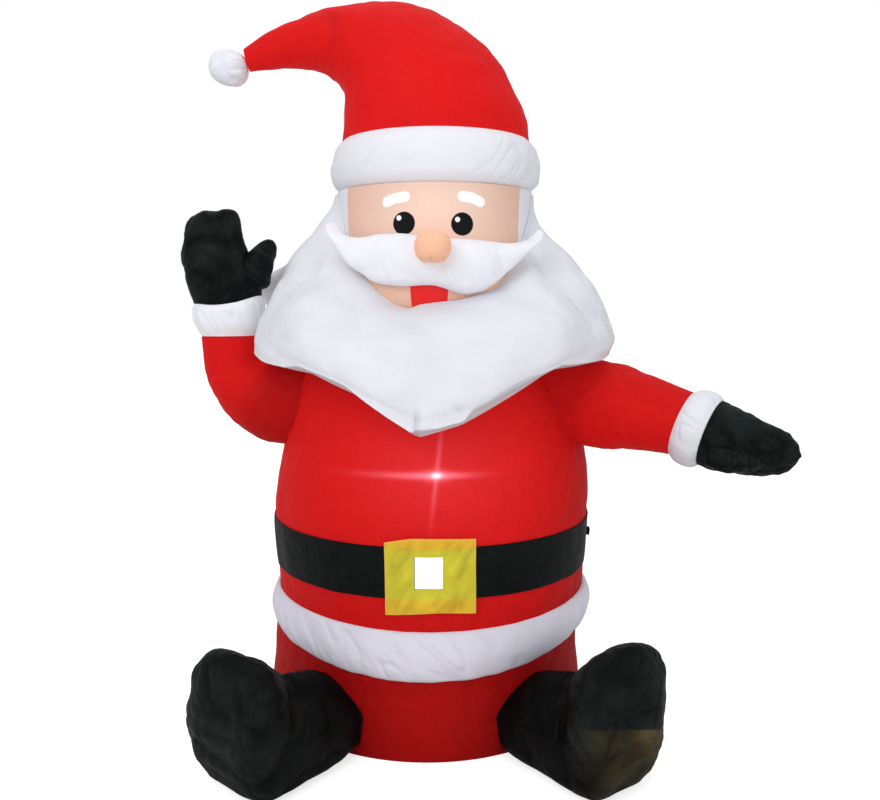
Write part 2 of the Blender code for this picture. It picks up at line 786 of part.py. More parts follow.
def make_right_arm():
    plane = Plane(RIGHT_ARM_AZIMUTH)
    raised = Plane(RIGHT_ARM_AZIMUTH, lean_z=RIGHT_SWAY_Z, lean=(0.0, -RIGHT_SWAY))
    bag("right_sleeve", plane, RIGHT_SLEEVE_SECTIONS, 9, SLEEVE_SIDES, RED, on_body=True)
    bag("right_cuff", raised, RIGHT_CUFF_SECTIONS, 6, SLEEVE_SIDES, WHITE)
    hand = bag("right_mitten", raised, RIGHT_HAND_SECTIONS, 9, HAND_SIDES, BLACK)
    thumb = bag("right_thumb", raised, RIGHT_THUMB_SECTIONS, 7, SMALL_SIDES, BLACK)
    joined(hand, thumb)


def make_left_arm():
    root = Plane(LEFT_ROOT_AZIMUTH).point(LEFT_ROOT_RADIUS, 0.0, 0.0)
    plane = Plane(LEFT_ARM_AZIMUTH, origin=root.xy)
    bag("left_sleeve", plane, LEFT_SLEEVE_SECTIONS, 7, SLEEVE_SIDES, RED, on_body=True)
    bag("left_cuff", plane, LEFT_CUFF_SECTIONS, 6, SLEEVE_SIDES, WHITE)
    hand = bag("left_mitten", plane, LEFT_HAND_SECTIONS, 9, HAND_SIDES, BLACK)
    front = root - plane.aside * LEFT_THUMB_OFFSET
    thumb_plane = Plane(LEFT_ARM_AZIMUTH, origin=front.xy)
    thumb = bag("left_thumb", thumb_plane, LEFT_THUMB_SECTIONS, 6, SMALL_SIDES, BLACK)
    joined(hand, thumb)


def make_boots():
    for name, azimuth in (("right_boot", -BOOT_AZIMUTH), ("left_boot", BOOT_AZIMUTH)):
        splay = Plane(azimuth).aside * BOOT_TOE_IN * (-1 if azimuth > 0 else 1)
        plane = Plane(azimuth, (BOOT_MIDDLE, 0.0), FLOOR_GAP, BOOT_TOE_IN_Z, splay.xy)
        bag(name, plane, BOOT_SECTIONS, BOOT_ROWS, BOOT_SIDES, BLACK, True, BOOT_FULLNESS)


def make_hat():
    plane = Plane(-90.0, origin=(HAT_LEAN, 0.0), base_z=HAT_Z)
    bag("hat", plane, HAT_SECTIONS, HAT_ROWS, HAT_SIDES, RED)


def make_pompom():
    """A rounded box, turned in the hat's plane and cut off flat where the tip meets it."""
    plane = Plane(-90.0, origin=(HAT_LEAN, 0.0), base_z=HAT_Z)
    rows = SMALL_SIDES // 2 + 1
    turn = math.radians(POMPOM_TURN)
    tip = HAT_SECTIONS[-1]
    near, far = Vector(tip[0]), Vector(tip[1])
    centre = Vector(POMPOM_CENTRE)
    along = Vector((far.y - near.y, near.x - far.x)).normalized()
    if along.dot(centre - near) < 0:
        along = -along

    def rounded(value):
        return math.copysign(abs(value) ** POMPOM_SQUARE, value)

    def place(angle, row):
        polar = math.pi * row / rows
        length = POMPOM_HALF_LENGTH * rounded(math.sin(polar)) * rounded(math.cos(angle))
        height = POMPOM_HALF_HEIGHT * rounded(math.cos(polar))
        width = POMPOM_HALF_WIDTH * rounded(math.sin(polar)) * rounded(math.sin(angle))
        at = centre + Vector((
            length * math.cos(turn) - height * math.sin(turn),
            length * math.sin(turn) + height * math.cos(turn),
        ))
        clear = (at - near).dot(along) - POMPOM_TIP_GAP
        if clear < 0:
            at = at - along * clear
        return plane.point(at.x, at.y, width)

    wrap("pompom", place, SMALL_SIDES, rows, WHITE)


def main():
    for leftover in list(bpy.data.objects):
        bpy.data.objects.remove(leftover)
    make_body()
    make_coat_hem()
    make_belt()
    make_buckle()
    make_buckle_centre()
    make_tether_tab()
    make_head()
    make_beard()
    make_moustache()
    make_nose()
    make_hat_trim()
    make_hat()
    make_pompom()
    make_right_arm()
    make_left_arm()
    make_boots()


if __name__ == "__main__":
    main()
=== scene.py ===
"""Inflatable santa: the sewn bags with their gathers and seams, the printed face, the lit fabric.

Metres, +Z up, in the CAD frame. The figure faces -Y, and left and right are the figure's own.
An azimuth is in degrees round the column, 0 at the front and growing towards +X.
"""

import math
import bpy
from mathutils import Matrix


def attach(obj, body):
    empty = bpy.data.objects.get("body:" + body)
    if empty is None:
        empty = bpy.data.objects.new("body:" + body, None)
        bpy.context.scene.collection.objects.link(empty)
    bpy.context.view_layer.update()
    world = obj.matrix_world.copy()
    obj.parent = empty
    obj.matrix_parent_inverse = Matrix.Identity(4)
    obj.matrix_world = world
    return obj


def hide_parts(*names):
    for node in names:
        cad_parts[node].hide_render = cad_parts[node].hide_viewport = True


bl_info = {
    "name": "Inflatable Santa",
    "version": (1, 0, 0),
    "blender": (4, 5, 0),
    "location": "3D View > Sidebar > Santa",
    "description": "Builds the fabric pieces of a sitting inflatable santa",
    "category": "Add Mesh",
}

import bmesh
import bpy
import numpy as np
from mathutils import Vector, noise

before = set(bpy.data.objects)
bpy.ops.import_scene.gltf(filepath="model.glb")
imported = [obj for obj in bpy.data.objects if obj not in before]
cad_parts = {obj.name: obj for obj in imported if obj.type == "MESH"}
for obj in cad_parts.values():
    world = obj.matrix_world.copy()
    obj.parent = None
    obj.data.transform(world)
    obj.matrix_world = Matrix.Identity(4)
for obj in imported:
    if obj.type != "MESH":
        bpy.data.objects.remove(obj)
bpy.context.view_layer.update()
BODY = "root"
TAU = math.tau

# The camera of the photograph
IMAGE_WIDTH = 880
FOCAL_PX = 896.0
CAMERA_AT = (0.0, -1.56, 0.69)
CAMERA_DOWN = 6.0
CAMERA_YAW = 0.576

# How closely bags touch, and how finely they are divided
SEAM_GAP = 0.0005
SKIN_GAP = 0.0008
MERGE = 0.00001
SHARP_ANGLE = 60.0
SEAT_STEPS = 20
CAP_RINGS = 8

# The column's middle by height, and the outline of the body
COLUMN_LEAN = (
    (0.000, -0.0040), (0.120, -0.0055), (0.210, 0.0000), (0.360, 0.0005), (0.420, 0.0040),
    (0.600, 0.0040), (0.870, 0.0055), (0.895, 0.0090),
)
BODY_OUTLINE = (
    (0.000, 0.2645), (0.008, 0.2670), (0.110, 0.2660), (0.215, 0.2650), (0.290, 0.2680),
    (0.358, 0.2715), (0.410, 0.2660), (0.450, 0.2585), (0.495, 0.2465), (0.540, 0.2285),
    (0.580, 0.2020), (0.615, 0.1680), (0.645, 0.1280), (0.665, 0.0900),
)
NECK_Z = 0.665

# One-sided shade rises on the figure's left and ends between these azimuths, short of the back
SIDE_ENDS = (130, 175)

# The body's puckers round each boot and armpit: height, size in degrees and metres, how they
# fan, how many there are, and how far they spread
BOOT_PUCKER_Z = 0.055
BOOT_PUCKERS = ((19.0, 0.078), 0.26, 26, 0.30)
ARMPIT_PUCKERS = ((20.0, 0.080), 0.24, 22, 0.28)

# The body's full places and lean: how far out, with middles and spreads as azimuths and heights
LEFT_FLANK = (88, 28)
RIGHT_FLANK = (-88, 28)
WAIST_OUT = 0.0030
WAIST_AT = (0.460, 0.060)
FOOT_LEAN = (0.0040, 0.0030)
FOOT_LEAN_TO = (0.150, 0.200)
SHOULDER_OUT = 0.0200
SHOULDER_AZIMUTHS = (-78, 24)
SHOULDER_AT = (0.575, 0.035)
SHOULDER_TO = (0.600, 0.630)
BELT_CLEAR = (0.3375, 0.3480)

# Coat hem, belt, buckle and tab
HEM_Z = 0.1280
HEM_HEIGHT = 0.0770
HEM_LIFT_LOW = 0.0310
HEM_LIFT_HIGH = 0.0100
HEM_THIN = 0.0020
BELT_Z = 0.2555
BELT_HEIGHT = 0.0800
BELT_THICK = 0.0020
BUCKLE_AZIMUTHS = (-14.5, 14.1)
BUCKLE_Z = 0.2340
BUCKLE_HEIGHT = 0.1140
BUCKLE_STAND_OFF = 0.0025
BUCKLE_THICK = 0.0030
BUCKLE_TOP = ((0.0, -0.0050), (0.12, -0.0015), (0.28, 0.0022), (0.50, 0.0026), (1.0, 0.0010))
BUCKLE_FOOT = ((0.0, -0.0022), (0.30, 0.0005), (0.55, 0.0028), (1.0, 0.0))
BUCKLE_TAPER = 0.6
BUCKLE_SLANT = ((0.5, 0.0, -0.87), (0.0, 1.0, 0.0), (0.87, 0.0, 0.5))
WINDOW_AZIMUTHS = (-5.3, 3.6)
WINDOW_Z = 0.2730
WINDOW_HEIGHT = 0.0500
WINDOW_GAP = 0.0004
PATCH_THICK = 0.0022
TAB_AZIMUTH = 86.5
TAB_Z = 0.2900
TAB_HALF_HEIGHT = 0.0075
TAB_HALF_WIDTH = 0.0025
TAB_LENGTH = 0.0080
BELT_RADIUS = 0.27

# Head and hat trim as heights and radii, and the hat as sections, each a place on its right,
# one on its left and its half depth
HEAD_Z = NECK_Z + SEAM_GAP
HEAD_OUTLINE = (
    (0.0000, 0.1100), (0.0100, 0.1380), (0.0220, 0.1530), (0.0400, 0.1630),
    (0.0750, 0.1670), (0.1400, 0.1665), (0.2130, 0.1650),
)
HEAD_RADIUS = 0.1665
TRIM_Z = HEAD_Z + HEAD_OUTLINE[-1][0] + SEAM_GAP
TRIM_OUTLINE = (
    (0.0000, 0.1600), (0.0100, 0.1715), (0.0310, 0.1785), (0.0560, 0.1762),
    (0.0760, 0.1665), (0.0840, 0.1570),
)
HAT_Z = TRIM_Z + TRIM_OUTLINE[-1][0] + SEAM_GAP
HAT_LEAN = COLUMN_LEAN[-1][1]
HAT_SECTIONS = (
    ((0.1580, 0.0000), (-0.1580, 0.0000), 0.1560),
    ((0.1560, 0.0300), (-0.1520, 0.0430), 0.1520),
    ((0.1565, 0.0560), (-0.1325, 0.0850), 0.1430),
    ((0.1575, 0.0790), (-0.1040, 0.1300), 0.1320),
    ((0.1655, 0.0960), (-0.0570, 0.1765), 0.1180),
    ((0.1790, 0.1095), (0.0050, 0.2135), 0.1020),
    ((0.1970, 0.1190), (0.0750, 0.2285), 0.0820),
    ((0.2220, 0.1240), (0.1520, 0.2245), 0.0600),
    ((0.2520, 0.1235), (0.2280, 0.2030), 0.0430),
    ((0.2830, 0.1205), (0.2770, 0.1840), 0.0310),
    ((0.3130, 0.1185), (0.3220, 0.1545), 0.0180),
)
POMPOM_CENTRE = (0.3490, 0.1240)
POMPOM_HALVES = (0.0340, 0.0285, 0.0300)
POMPOM_TURN = 14.0
POMPOM_SQUARE = 0.86

# Beard and hair: top, rim and gusset by azimuth, and radii by the share of the way down
BEARD_TOP = (
    (-180, 0.8745), (-74, 0.8745), (-60, 0.815), (-50, 0.761), (-38, 0.728), (-30, 0.707),
    (-22, 0.691), (-13, 0.685), (-8, 0.692), (0, 0.695), (15, 0.700), (36, 0.717), (50, 0.757),
    (62, 0.807), (78, 0.8745), (180, 0.8745),
)
BEARD_RIM = (
    (-180, 0.614), (-92, 0.615), (-76, 0.608), (-57, 0.595), (-40, 0.589), (-24, 0.562),
    (-10, 0.520), (-4.6, 0.501), (8, 0.519), (22, 0.555), (38, 0.595), (60, 0.599),
    (78, 0.606), (180, 0.614),
)
BEARD_SIDE = (
    (0.00, 0.1682), (0.12, 0.1750), (0.25, 0.1960), (0.43, 0.2470), (0.64, 0.2850),
    (0.82, 0.3060), (0.92, 0.3100), (0.98, 0.3030), (1.00, 0.2840),
)
BEARD_GUSSET = (
    (-180, 0.970), (-60, 0.970), (-46, 0.955), (-39, 0.910), (-31, 0.880), (-25, 0.885),
    (-19, 0.930), (-12, 0.965), (-5.6, 0.970), (-4.4, 0.925), (0, 0.950), (8.3, 0.950),
    (10.3, 0.875), (14, 0.875), (19, 0.835), (26, 0.830), (32, 0.885), (40, 0.945),
    (60, 0.970), (180, 0.970),
)
BEARD_FRONT = (
    (0.00, 0.1690), (0.05, 0.2010), (0.15, 0.2400), (0.29, 0.2760), (0.47, 0.3010),
    (0.67, 0.3140), (0.86, 0.3130), (0.96, 0.3030), (1.00, 0.2830),
)
BEARD_FRONT_TO = 38.0
BEARD_SIDE_FROM = 66.0
BEARD_TIP_AZIMUTH = -4.6

# The beard's full and hollow places: how far, with middles and spreads as azimuths and shares
BEARD_RIGHT_PUFF = 0.0150
BEARD_RIGHT_PUFF_AT = (-85, 35)
BEARD_RIGHT_HOLLOW = 0.0260
BEARD_RIGHT_HOLLOW_AT = (-89, 10.5)
BEARD_LEFT_HOLLOW = 0.0080
BEARD_LEFT_HOLLOW_AT = ((80, 20), (0.97, 0.05))
BEARD_LOBE = 0.0620
BEARD_LOBE_AT = ((-101, 11), (0.555, 0.135))
BEARD_LOBE_FROM = (0.38, 0.44)
# Painted light on the lobe, which lies in shade behind the thumb
BEARD_LOBE_PAINTED_LIGHT = 0.34
BEARD_CREASE = 0.0065
BEARD_CREASE_FROM = (0.76, 0.86)
BEARD_SECOND_CREASE = 0.0034
BEARD_FOLD = 0.0036
BEARD_SKIN_GAP = 0.0030

# Moustache, its edges as azimuths and heights, and nose
MOUSTACHE_UPPER = (
    (-57.5, 0.8240), (-50, 0.8030), (-43, 0.7970), (-28, 0.8010), (-14, 0.8000), (0, 0.7930),
    (14, 0.7930), (30, 0.7900), (45, 0.7890), (54, 0.7970), (61.5, 0.8130),
)
MOUSTACHE_LOWER = (
    (-57.5, 0.8200), (-50, 0.7810), (-43, 0.7520), (-33, 0.7290), (-20, 0.7205), (0, 0.7210),
    (18, 0.7080), (28, 0.7160), (38, 0.7410), (49, 0.7750), (61.5, 0.8070),
)
MOUSTACHE_ENDS = (-57.5, 61.5)
MOUSTACHE_PUFF = 0.0340
MOUSTACHE_TIP_PUFF = 0.0040
MOUSTACHE_GAP = 0.0030
MOUSTACHE_TIP_FLARE = 0.0220
NOSE_AZIMUTH = -0.6
NOSE_DISTANCE = 0.2150
NOSE_Z = 0.7780
NOSE_HALVES = (0.0275, 0.0300, 0.0240)
NOSE_GAP = 0.0010
NOSE_STITCHES = (-0.0030, 0.0150)
NOSE_STITCH_WIDTH = 0.0017
NOSE_STITCH_DROP = 0.0185
NOSE_STITCH_DEPTH = 0.0022

# Arms: sections from one side of the bag to the other, as distance, height and half width
RIGHT_ARM_AZIMUTH = -88.0
RIGHT_SLEEVE_SECTIONS = (
    ((0.2300, 0.6030), (0.2300, 0.4490), 0.0720),
    ((0.2600, 0.6010), (0.2890, 0.4575), 0.0710),
    ((0.2760, 0.5980), (0.3395, 0.4895), 0.0650),
    ((0.2850, 0.5960), (0.3735, 0.5350), 0.0580),
    ((0.2930, 0.6030), (0.3890, 0.5850), 0.0520),
    ((0.2950, 0.6390), (0.3930, 0.6380), 0.0490),
)
RIGHT_CUFF_SECTIONS = (
    ((0.2935, 0.6400), (0.3925, 0.6390), 0.0510),
    ((0.2870, 0.6560), (0.4010, 0.6530), 0.0575),
    ((0.2845, 0.6730), (0.4065, 0.6680), 0.0590),
    ((0.2850, 0.6910), (0.4070, 0.6840), 0.0580),
    ((0.2885, 0.7000), (0.4035, 0.6930), 0.0510),
)
RIGHT_HAND_SECTIONS = (
    ((0.2885, 0.7010), (0.4030, 0.6940), 0.0450),
    ((0.2915, 0.7325), (0.4130, 0.7305), 0.0480),
    ((0.3025, 0.7615), (0.4180, 0.7635), 0.0460),
    ((0.3115, 0.7915), (0.4160, 0.7950), 0.0410),
    ((0.3180, 0.8175), (0.4075, 0.8235), 0.0340),
    ((0.3240, 0.8410), (0.3920, 0.8400), 0.0260),
    ((0.3330, 0.8500), (0.3780, 0.8470), 0.0160),
    ((0.3570, 0.8520), (0.3570, 0.8520), 0.0000),
)
RIGHT_THUMB_SECTIONS = (
    ((0.3400, 0.7420), (0.3005, 0.7070), 0.0300),
    ((0.3200, 0.7665), (0.2790, 0.7185), 0.0340),
    ((0.3045, 0.7825), (0.2730, 0.7420), 0.0310),
    ((0.2915, 0.7945), (0.2665, 0.7650), 0.0250),
    ((0.2815, 0.7995), (0.2620, 0.7815), 0.0170),
    ((0.2735, 0.8010), (0.2630, 0.7925), 0.0090),
    ((0.2665, 0.8000), (0.2665, 0.8000), 0.0000),
)
RIGHT_TIP_DIP = 0.0045
RIGHT_TIP_X = (-0.3560, 0.0120)
RIGHT_TIP_Z = (0.830, 0.850)
RIGHT_SEAM_Z = 0.6975
RIGHT_SEAM_REACH = 0.022
RIGHT_SEAM_RISE = 0.0085
RIGHT_SEAM_RISE_TO = (-0.325, -0.280)
RIGHT_SEAM_DIP = 0.0045
RIGHT_SEAM_DIP_AT = (0.355, 0.035)
RIGHT_SWAY_Z = 0.640
RIGHT_SWAY = 0.12
LEFT_ROOT_AZIMUTH = 75.5
LEFT_ROOT_RADIUS = 0.234
LEFT_ARM_AZIMUTH = 58.0
LEFT_SLEEVE_SECTIONS = (
    ((0.0200, 0.4600), (-0.0150, 0.6060), 0.0730),
    ((0.0640, 0.4575), (0.0720, 0.6010), 0.0700),
    ((0.1200, 0.4590), (0.1450, 0.5790), 0.0620),
    ((0.1840, 0.4555), (0.2160, 0.5545), 0.0520),
)
LEFT_CUFF_SECTIONS = (
    ((0.1845, 0.4545), (0.2170, 0.5555), 0.0540),
    ((0.1930, 0.4450), (0.2280, 0.5600), 0.0600),
    ((0.2045, 0.4395), (0.2400, 0.5590), 0.0615),
    ((0.2160, 0.4385), (0.2520, 0.5540), 0.0600),
    ((0.2270, 0.4425), (0.2600, 0.5455), 0.0530),
)
LEFT_HAND_SECTIONS = (
    ((0.2280, 0.4430), (0.2605, 0.5445), 0.0500),
    ((0.2620, 0.4370), (0.2900, 0.5310), 0.0480),
    ((0.2970, 0.4355), (0.3180, 0.5190), 0.0430),
    ((0.3300, 0.4390), (0.3430, 0.5070), 0.0360),
    ((0.3530, 0.4455), (0.3600, 0.4970), 0.0270),
    ((0.3690, 0.4560), (0.3710, 0.4850), 0.0150),
    ((0.3780, 0.4690), (0.3780, 0.4690), 0.0000),
)
LEFT_THUMB_SECTIONS = (
    ((0.2480, 0.4470), (0.2580, 0.4900), 0.0180),
    ((0.2750, 0.4420), (0.2830, 0.4840), 0.0210),
    ((0.3030, 0.4430), (0.3090, 0.4780), 0.0190),
    ((0.3230, 0.4480), (0.3270, 0.4700), 0.0120),
    ((0.3340, 0.4580), (0.3340, 0.4580), 0.0000),
)
LEFT_THUMB_OFFSET = 0.0330
ARMPITS = ((LEFT_ROOT_AZIMUTH, 0.530), (RIGHT_ARM_AZIMUTH, 0.526))

# Boots
BOOT_AZIMUTH = 38.5
BOOT_MIDDLE = -0.0020
BOOT_FLOOR_GAP = 0.0002
BOOT_TOE_IN_Z = 0.080
BOOT_TOE_IN = 0.08
BOOT_CORNERS = {-1: (0.66, 0.35), 1: (0.35, 0.95)}
BOOT_SHOULDER = 0.45
BOOT_CURL_Z = 0.140
BOOT_CURL_IN = {-1: 0.12, 1: 0.07}
BOOT_CURL_UP = {-1: 0.10, 1: 0.20}
BOOT_SECTIONS = (
    ((0.2640, 0.1180), (0.2640, 0.0100), 0.0780),
    ((0.3000, 0.1350), (0.3000, 0.0020), 0.0810),
    ((0.3330, 0.1440), (0.3500, 0.0000), 0.0820),
    ((0.3540, 0.1465), (0.4050, 0.0000), 0.0840),
    ((0.3670, 0.1520), (0.4480, 0.0050), 0.0850),
    ((0.3800, 0.1620), (0.4720, 0.0410), 0.0890),
    ((0.3930, 0.1730), (0.4820, 0.0880), 0.0905),
    ((0.4060, 0.1840), (0.4820, 0.1310), 0.0900),
    ((0.4200, 0.1950), (0.4760, 0.1690), 0.0790),
    ((0.4360, 0.2025), (0.4630, 0.1940), 0.0470),
    ((0.4510, 0.2055), (0.4510, 0.2055), 0.0000),
)


def linear(code):
    """An sRGB hex colour as red, green and blue shares of linear light."""
    parts = (int(code[place : place + 2], 16) / 255 for place in (1, 3, 5))
    return tuple(v / 12.92 if v <= 0.04045 else ((v + 0.055) / 1.055) ** 2.4 for v in parts)


# The face's print, as lengths round the head from its front and heights
PRINT_EDGE = 0.0005
FACE_MIDDLE = -0.0018
FACE_HALF = 0.0879
FACE_SLANT = 0.09
# Painted shade: the flesh darkens towards the sides of the head
FACE_SIDE_SHADE = linear("#e6b49e")
FACE_BLUSH = linear("#efb399")
FACE_CHIN = linear("#f0c2a6")
CHIN_Z = 0.760
MOUTH_ACROSS = (-0.0370, 0.0225)
EYES = (
    ((-0.0473, 0.8163), (-0.0553, 0.8246)),
    ((0.0436, 0.8152), (0.0360, 0.8219)),
)
EYE_RADIUS = 0.0177
GLINT_RADIUS = 0.0040
BROWS = (
    [(-0.0762, 0.8500), (-0.0615, 0.8550), (-0.0462, 0.8565)],
    [(0.0440, 0.8573), (0.0595, 0.8555), (0.0735, 0.8500)],
)
BROW_HALF = 0.0080

# The buckle's doubled strips: places across or up from and to, soft edge and share of orange
BUCKLE_LOW_STRIP = (0.200, 0.2575, 0.0030)
BUCKLE_HIGH_STRIP = (0.3345, 0.400, 0.0025)
BUCKLE_HIGH_ACROSS = (-0.064, 0.200, 0.016)
BUCKLE_LEFT_STRIP = (-0.200, -0.0655, 0.0010)
BUCKLE_STRIP_SHARES = (0.70, 0.85, 0.35)
BUCKLE_EDGE = linear("#f2c455")

# The left boot's brown patch, which ends at a level slope
BROWN_SLOPE = 0.4936
BROWN_LEVEL = -0.0800
BROWN_EDGE = 0.0008
BROWN_ACROSS = (0.195, 0.345)
BROWN_PATCH = linear("#4e4321")

# The lamp's bright point: upright or not, offset, reaches, strength and colour of each part
LAMP_TILT = 0.115
LAMP_PARTS = (
    (False, 0.0, (0.0070, 0.0040), 0.90, (1.0, 0.88, 0.92)),
    (False, 0.0, (0.0170, 0.0085), 0.26, (1.0, 0.45, 0.58)),
    (False, -0.030, (0.0700, 0.0048), 0.26, (1.0, 0.34, 0.46)),
    (False, 0.0, (0.0420, 0.0046), 0.26, (1.0, 0.45, 0.58)),
    (True, 0.0, (0.0036, 0.0560), 0.20, (1.0, 0.36, 0.48)),
    (False, 0.0, (0.1000, 0.0700), 0.05, (1.0, 0.30, 0.38)),
)

# The fabrics: grain of their mottling and loose creases, and the ribs of the webbing
MOTTLE_SIZE = 0.020
CREASE_SIZE = 0.028
RIB_SPACING = 0.0010
SOFT_WHITE = (1.0, 0.99, 1.0)

# The stage: how bright the floor and surround are, where the lights point, and each light's
# name, place, size in metres and power in watts
FLOOR_LIFT = 0.67
WORLD_LIGHT = 0.55
WORLD_SEEN = 1.02
LIGHTS_AT = (0.0, 0.0, 0.55)
LIGHTS = (
    ("key", (-1.5, -2.6, 2.3), 1.8, 38.0),
    ("fill", (1.9, -2.6, 1.0), 2.2, 19.0),
    ("top", (0.0, 0.2, 3.2), 2.8, 20.0),
)


def colour(name, description, code):
    """A colour property with its default."""
    return bpy.props.FloatVectorProperty(
        name=name, description=description, default=linear(code),
        subtype="COLOR", size=3, min=0.0, max=1.0,
    )


def length(name, description, default):
    """A length property with its default."""
    return bpy.props.FloatProperty(
        name=name, description=description, default=default,
        min=0.0, precision=5, subtype="DISTANCE", unit="LENGTH",
    )


class SantaSizes(bpy.types.PropertyGroup):
    """The sizes of the sewing and the weave."""

    gather: length("Gathers", "Depth of the folds that seams pull into the fabric", 0.0024)
    crumple: length("Crumple", "Depth of the loose creases of the black fabric", 0.0030)
    hem_puff: length("Hem puff", "How far the coat hem stands out", 0.0115)
    thread: length("Thread", "Spacing of the threads that show in the weave", 0.0017)
    slub: length("Slub", "Length of the thicker stretches of a thread", 0.0120)
    weave_depth: length("Weave depth", "Height of the weave's threads", 0.00022)
    lamp_z: length("Lamp height", "Height of the lamp's bright point on the belly", 0.4409)
    lamp_x: bpy.props.FloatProperty(
        name="Lamp place", description="The bright point's place across the belly",
        default=0.0079, precision=5, subtype="DISTANCE", unit="LENGTH",
    )


class SantaColours(bpy.types.PropertyGroup):
    """The colours of the fabrics and of the face's print."""

    red: colour("Red", "Coat, hat and sleeves", "#b50d0c")
    red_glow: colour("Red glow", "Red fabric lit by the lamp inside", "#d81d20")
    white: colour("White", "Trim, beard and hair", "#e6e7ee")
    hem_white: colour("Hem white", "Coat hem", "#e3e1ed")
    black: colour("Black", "Mittens, boots and belt", "#0f1413")
    yellow: colour("Yellow", "Buckle", "#d0c435")
    orange: colour("Orange", "Turned edges of the buckle", "#e8b430")
    flesh: colour("Flesh", "Face", "#eac5b2")
    nose: colour("Nose", "Nose", "#f2bb9a")
    mouth: colour("Mouth", "Mouth", "#f01412")
    ink: colour("Eyes", "Eyes", "#0d100f")
    patch: colour("Patch", "White patch in the buckle", "#fbfafc")


def sizes():
    """The scene's sizes."""
    return bpy.context.scene.santa_sizes


def colours():
    """The scene's colours."""
    return bpy.context.scene.santa_colours


def smooth(table, at):
    """Values at places in a table of (place, value) rows, along a smooth curve."""
    x, y = (np.array(column, float) for column in zip(*table))
    slope = np.gradient(y, x)
    at = np.clip(at, x[0], x[-1])
    i = np.clip(np.searchsorted(x, at, side="right") - 1, 0, len(x) - 2)
    h = x[i + 1] - x[i]
    t = (at - x[i]) / h
    return (
        (2 * t**3 - 3 * t**2 + 1) * y[i] + (t**3 - 2 * t**2 + t) * h * slope[i]
        + (3 * t**2 - 2 * t**3) * y[i + 1] + (t**3 - t**2) * h * slope[i + 1]
    )


def straight(table, at):
    """Values at places in a table of (place, value) rows, straight between them."""
    return np.interp(at, *zip(*table))


def smooth_rows(keys, count):
    """Rows of numbers at even shares along a smooth curve through the keys."""
    keys = np.array(keys, float)
    padded = np.vstack([2 * keys[0] - keys[1], keys, 2 * keys[-1] - keys[-2]])
    share = np.linspace(0, len(keys) - 1, count)
    index = np.minimum(share.astype(int), len(keys) - 2)
    t = (share - index)[:, None]
    a, b, c, d = (padded[index + step] for step in range(4))
    return 0.5 * (
        2 * b + (c - a) * t + (2 * a - 5 * b + 4 * c - d) * t**2
        + (3 * b - a - 3 * c + d) * t**3
    )


def eased(at, start, end):
    """0 before start and 1 after end, with a smooth step between them."""
    share = np.clip((at - start) / (end - start), 0.0, 1.0)
    return share * share * (3 - 2 * share)


def bell(at, middle, spread):
    """1 at the middle, falling off smoothly within the spread."""
    return np.exp(-(((at - middle) / spread) ** 2))


def one_side(azimuth, start, end):
    """Rises on the figure's left between two azimuths and falls again before the back."""
    return eased(azimuth, start, end) * (1 - eased(azimuth, *SIDE_ENDS))


def arch(share, power=1.0):
    """0 at both ends of a share and 1 at its middle, fuller with a power below 1."""
    return np.sin(np.pi * np.clip(share, 0.0, 1.0)) ** power


def squared(value, power):
    """A sine or cosine pushed towards its ends, which squares a round section."""
    return np.sign(value) * np.abs(value) ** power


def spaced(count):
    """Even shares from 0 to 1, as one column."""
    return np.linspace(0, 1, count)[:, None]


def full_turn(sides):
    """Even angles round a bag in radians, as one row."""
    return (TAU * np.arange(sides) / sides)[None, :]


def joined(*parts):
    """Places from their parts, which may be grids, rows, columns or numbers."""
    return np.stack(np.broadcast_arrays(*parts), axis=-1)


def upright(azimuth, radius, z):
    """Points at these azimuths, radii and heights, leaning with the column."""
    azimuth, radius, z = np.broadcast_arrays(azimuth, radius, z)
    turn = np.radians(azimuth)
    middle = straight(COLUMN_LEAN, z)
    return np.stack([radius * np.sin(turn) + middle, -radius * np.cos(turn), z], axis=-1)


def round_the_column(sides):
    """Azimuths of a grid's columns, from the back round to the back, as one row."""
    return (-180.0 + 360.0 * np.arange(sides) / sides)[None, :]


def body_radius(z):
    """The body's radius at these heights."""
    return smooth(BODY_OUTLINE, z)


def head_radius(z):
    """The head's radius at these heights."""
    return smooth(HEAD_OUTLINE, z - HEAD_Z)


def smoothed(mesh):
    """Shades the mesh smooth, but for edges past the sharp angle."""
    mesh.shade_smooth()
    mesh.set_sharp_from_angle(angle=math.radians(SHARP_ANGLE))


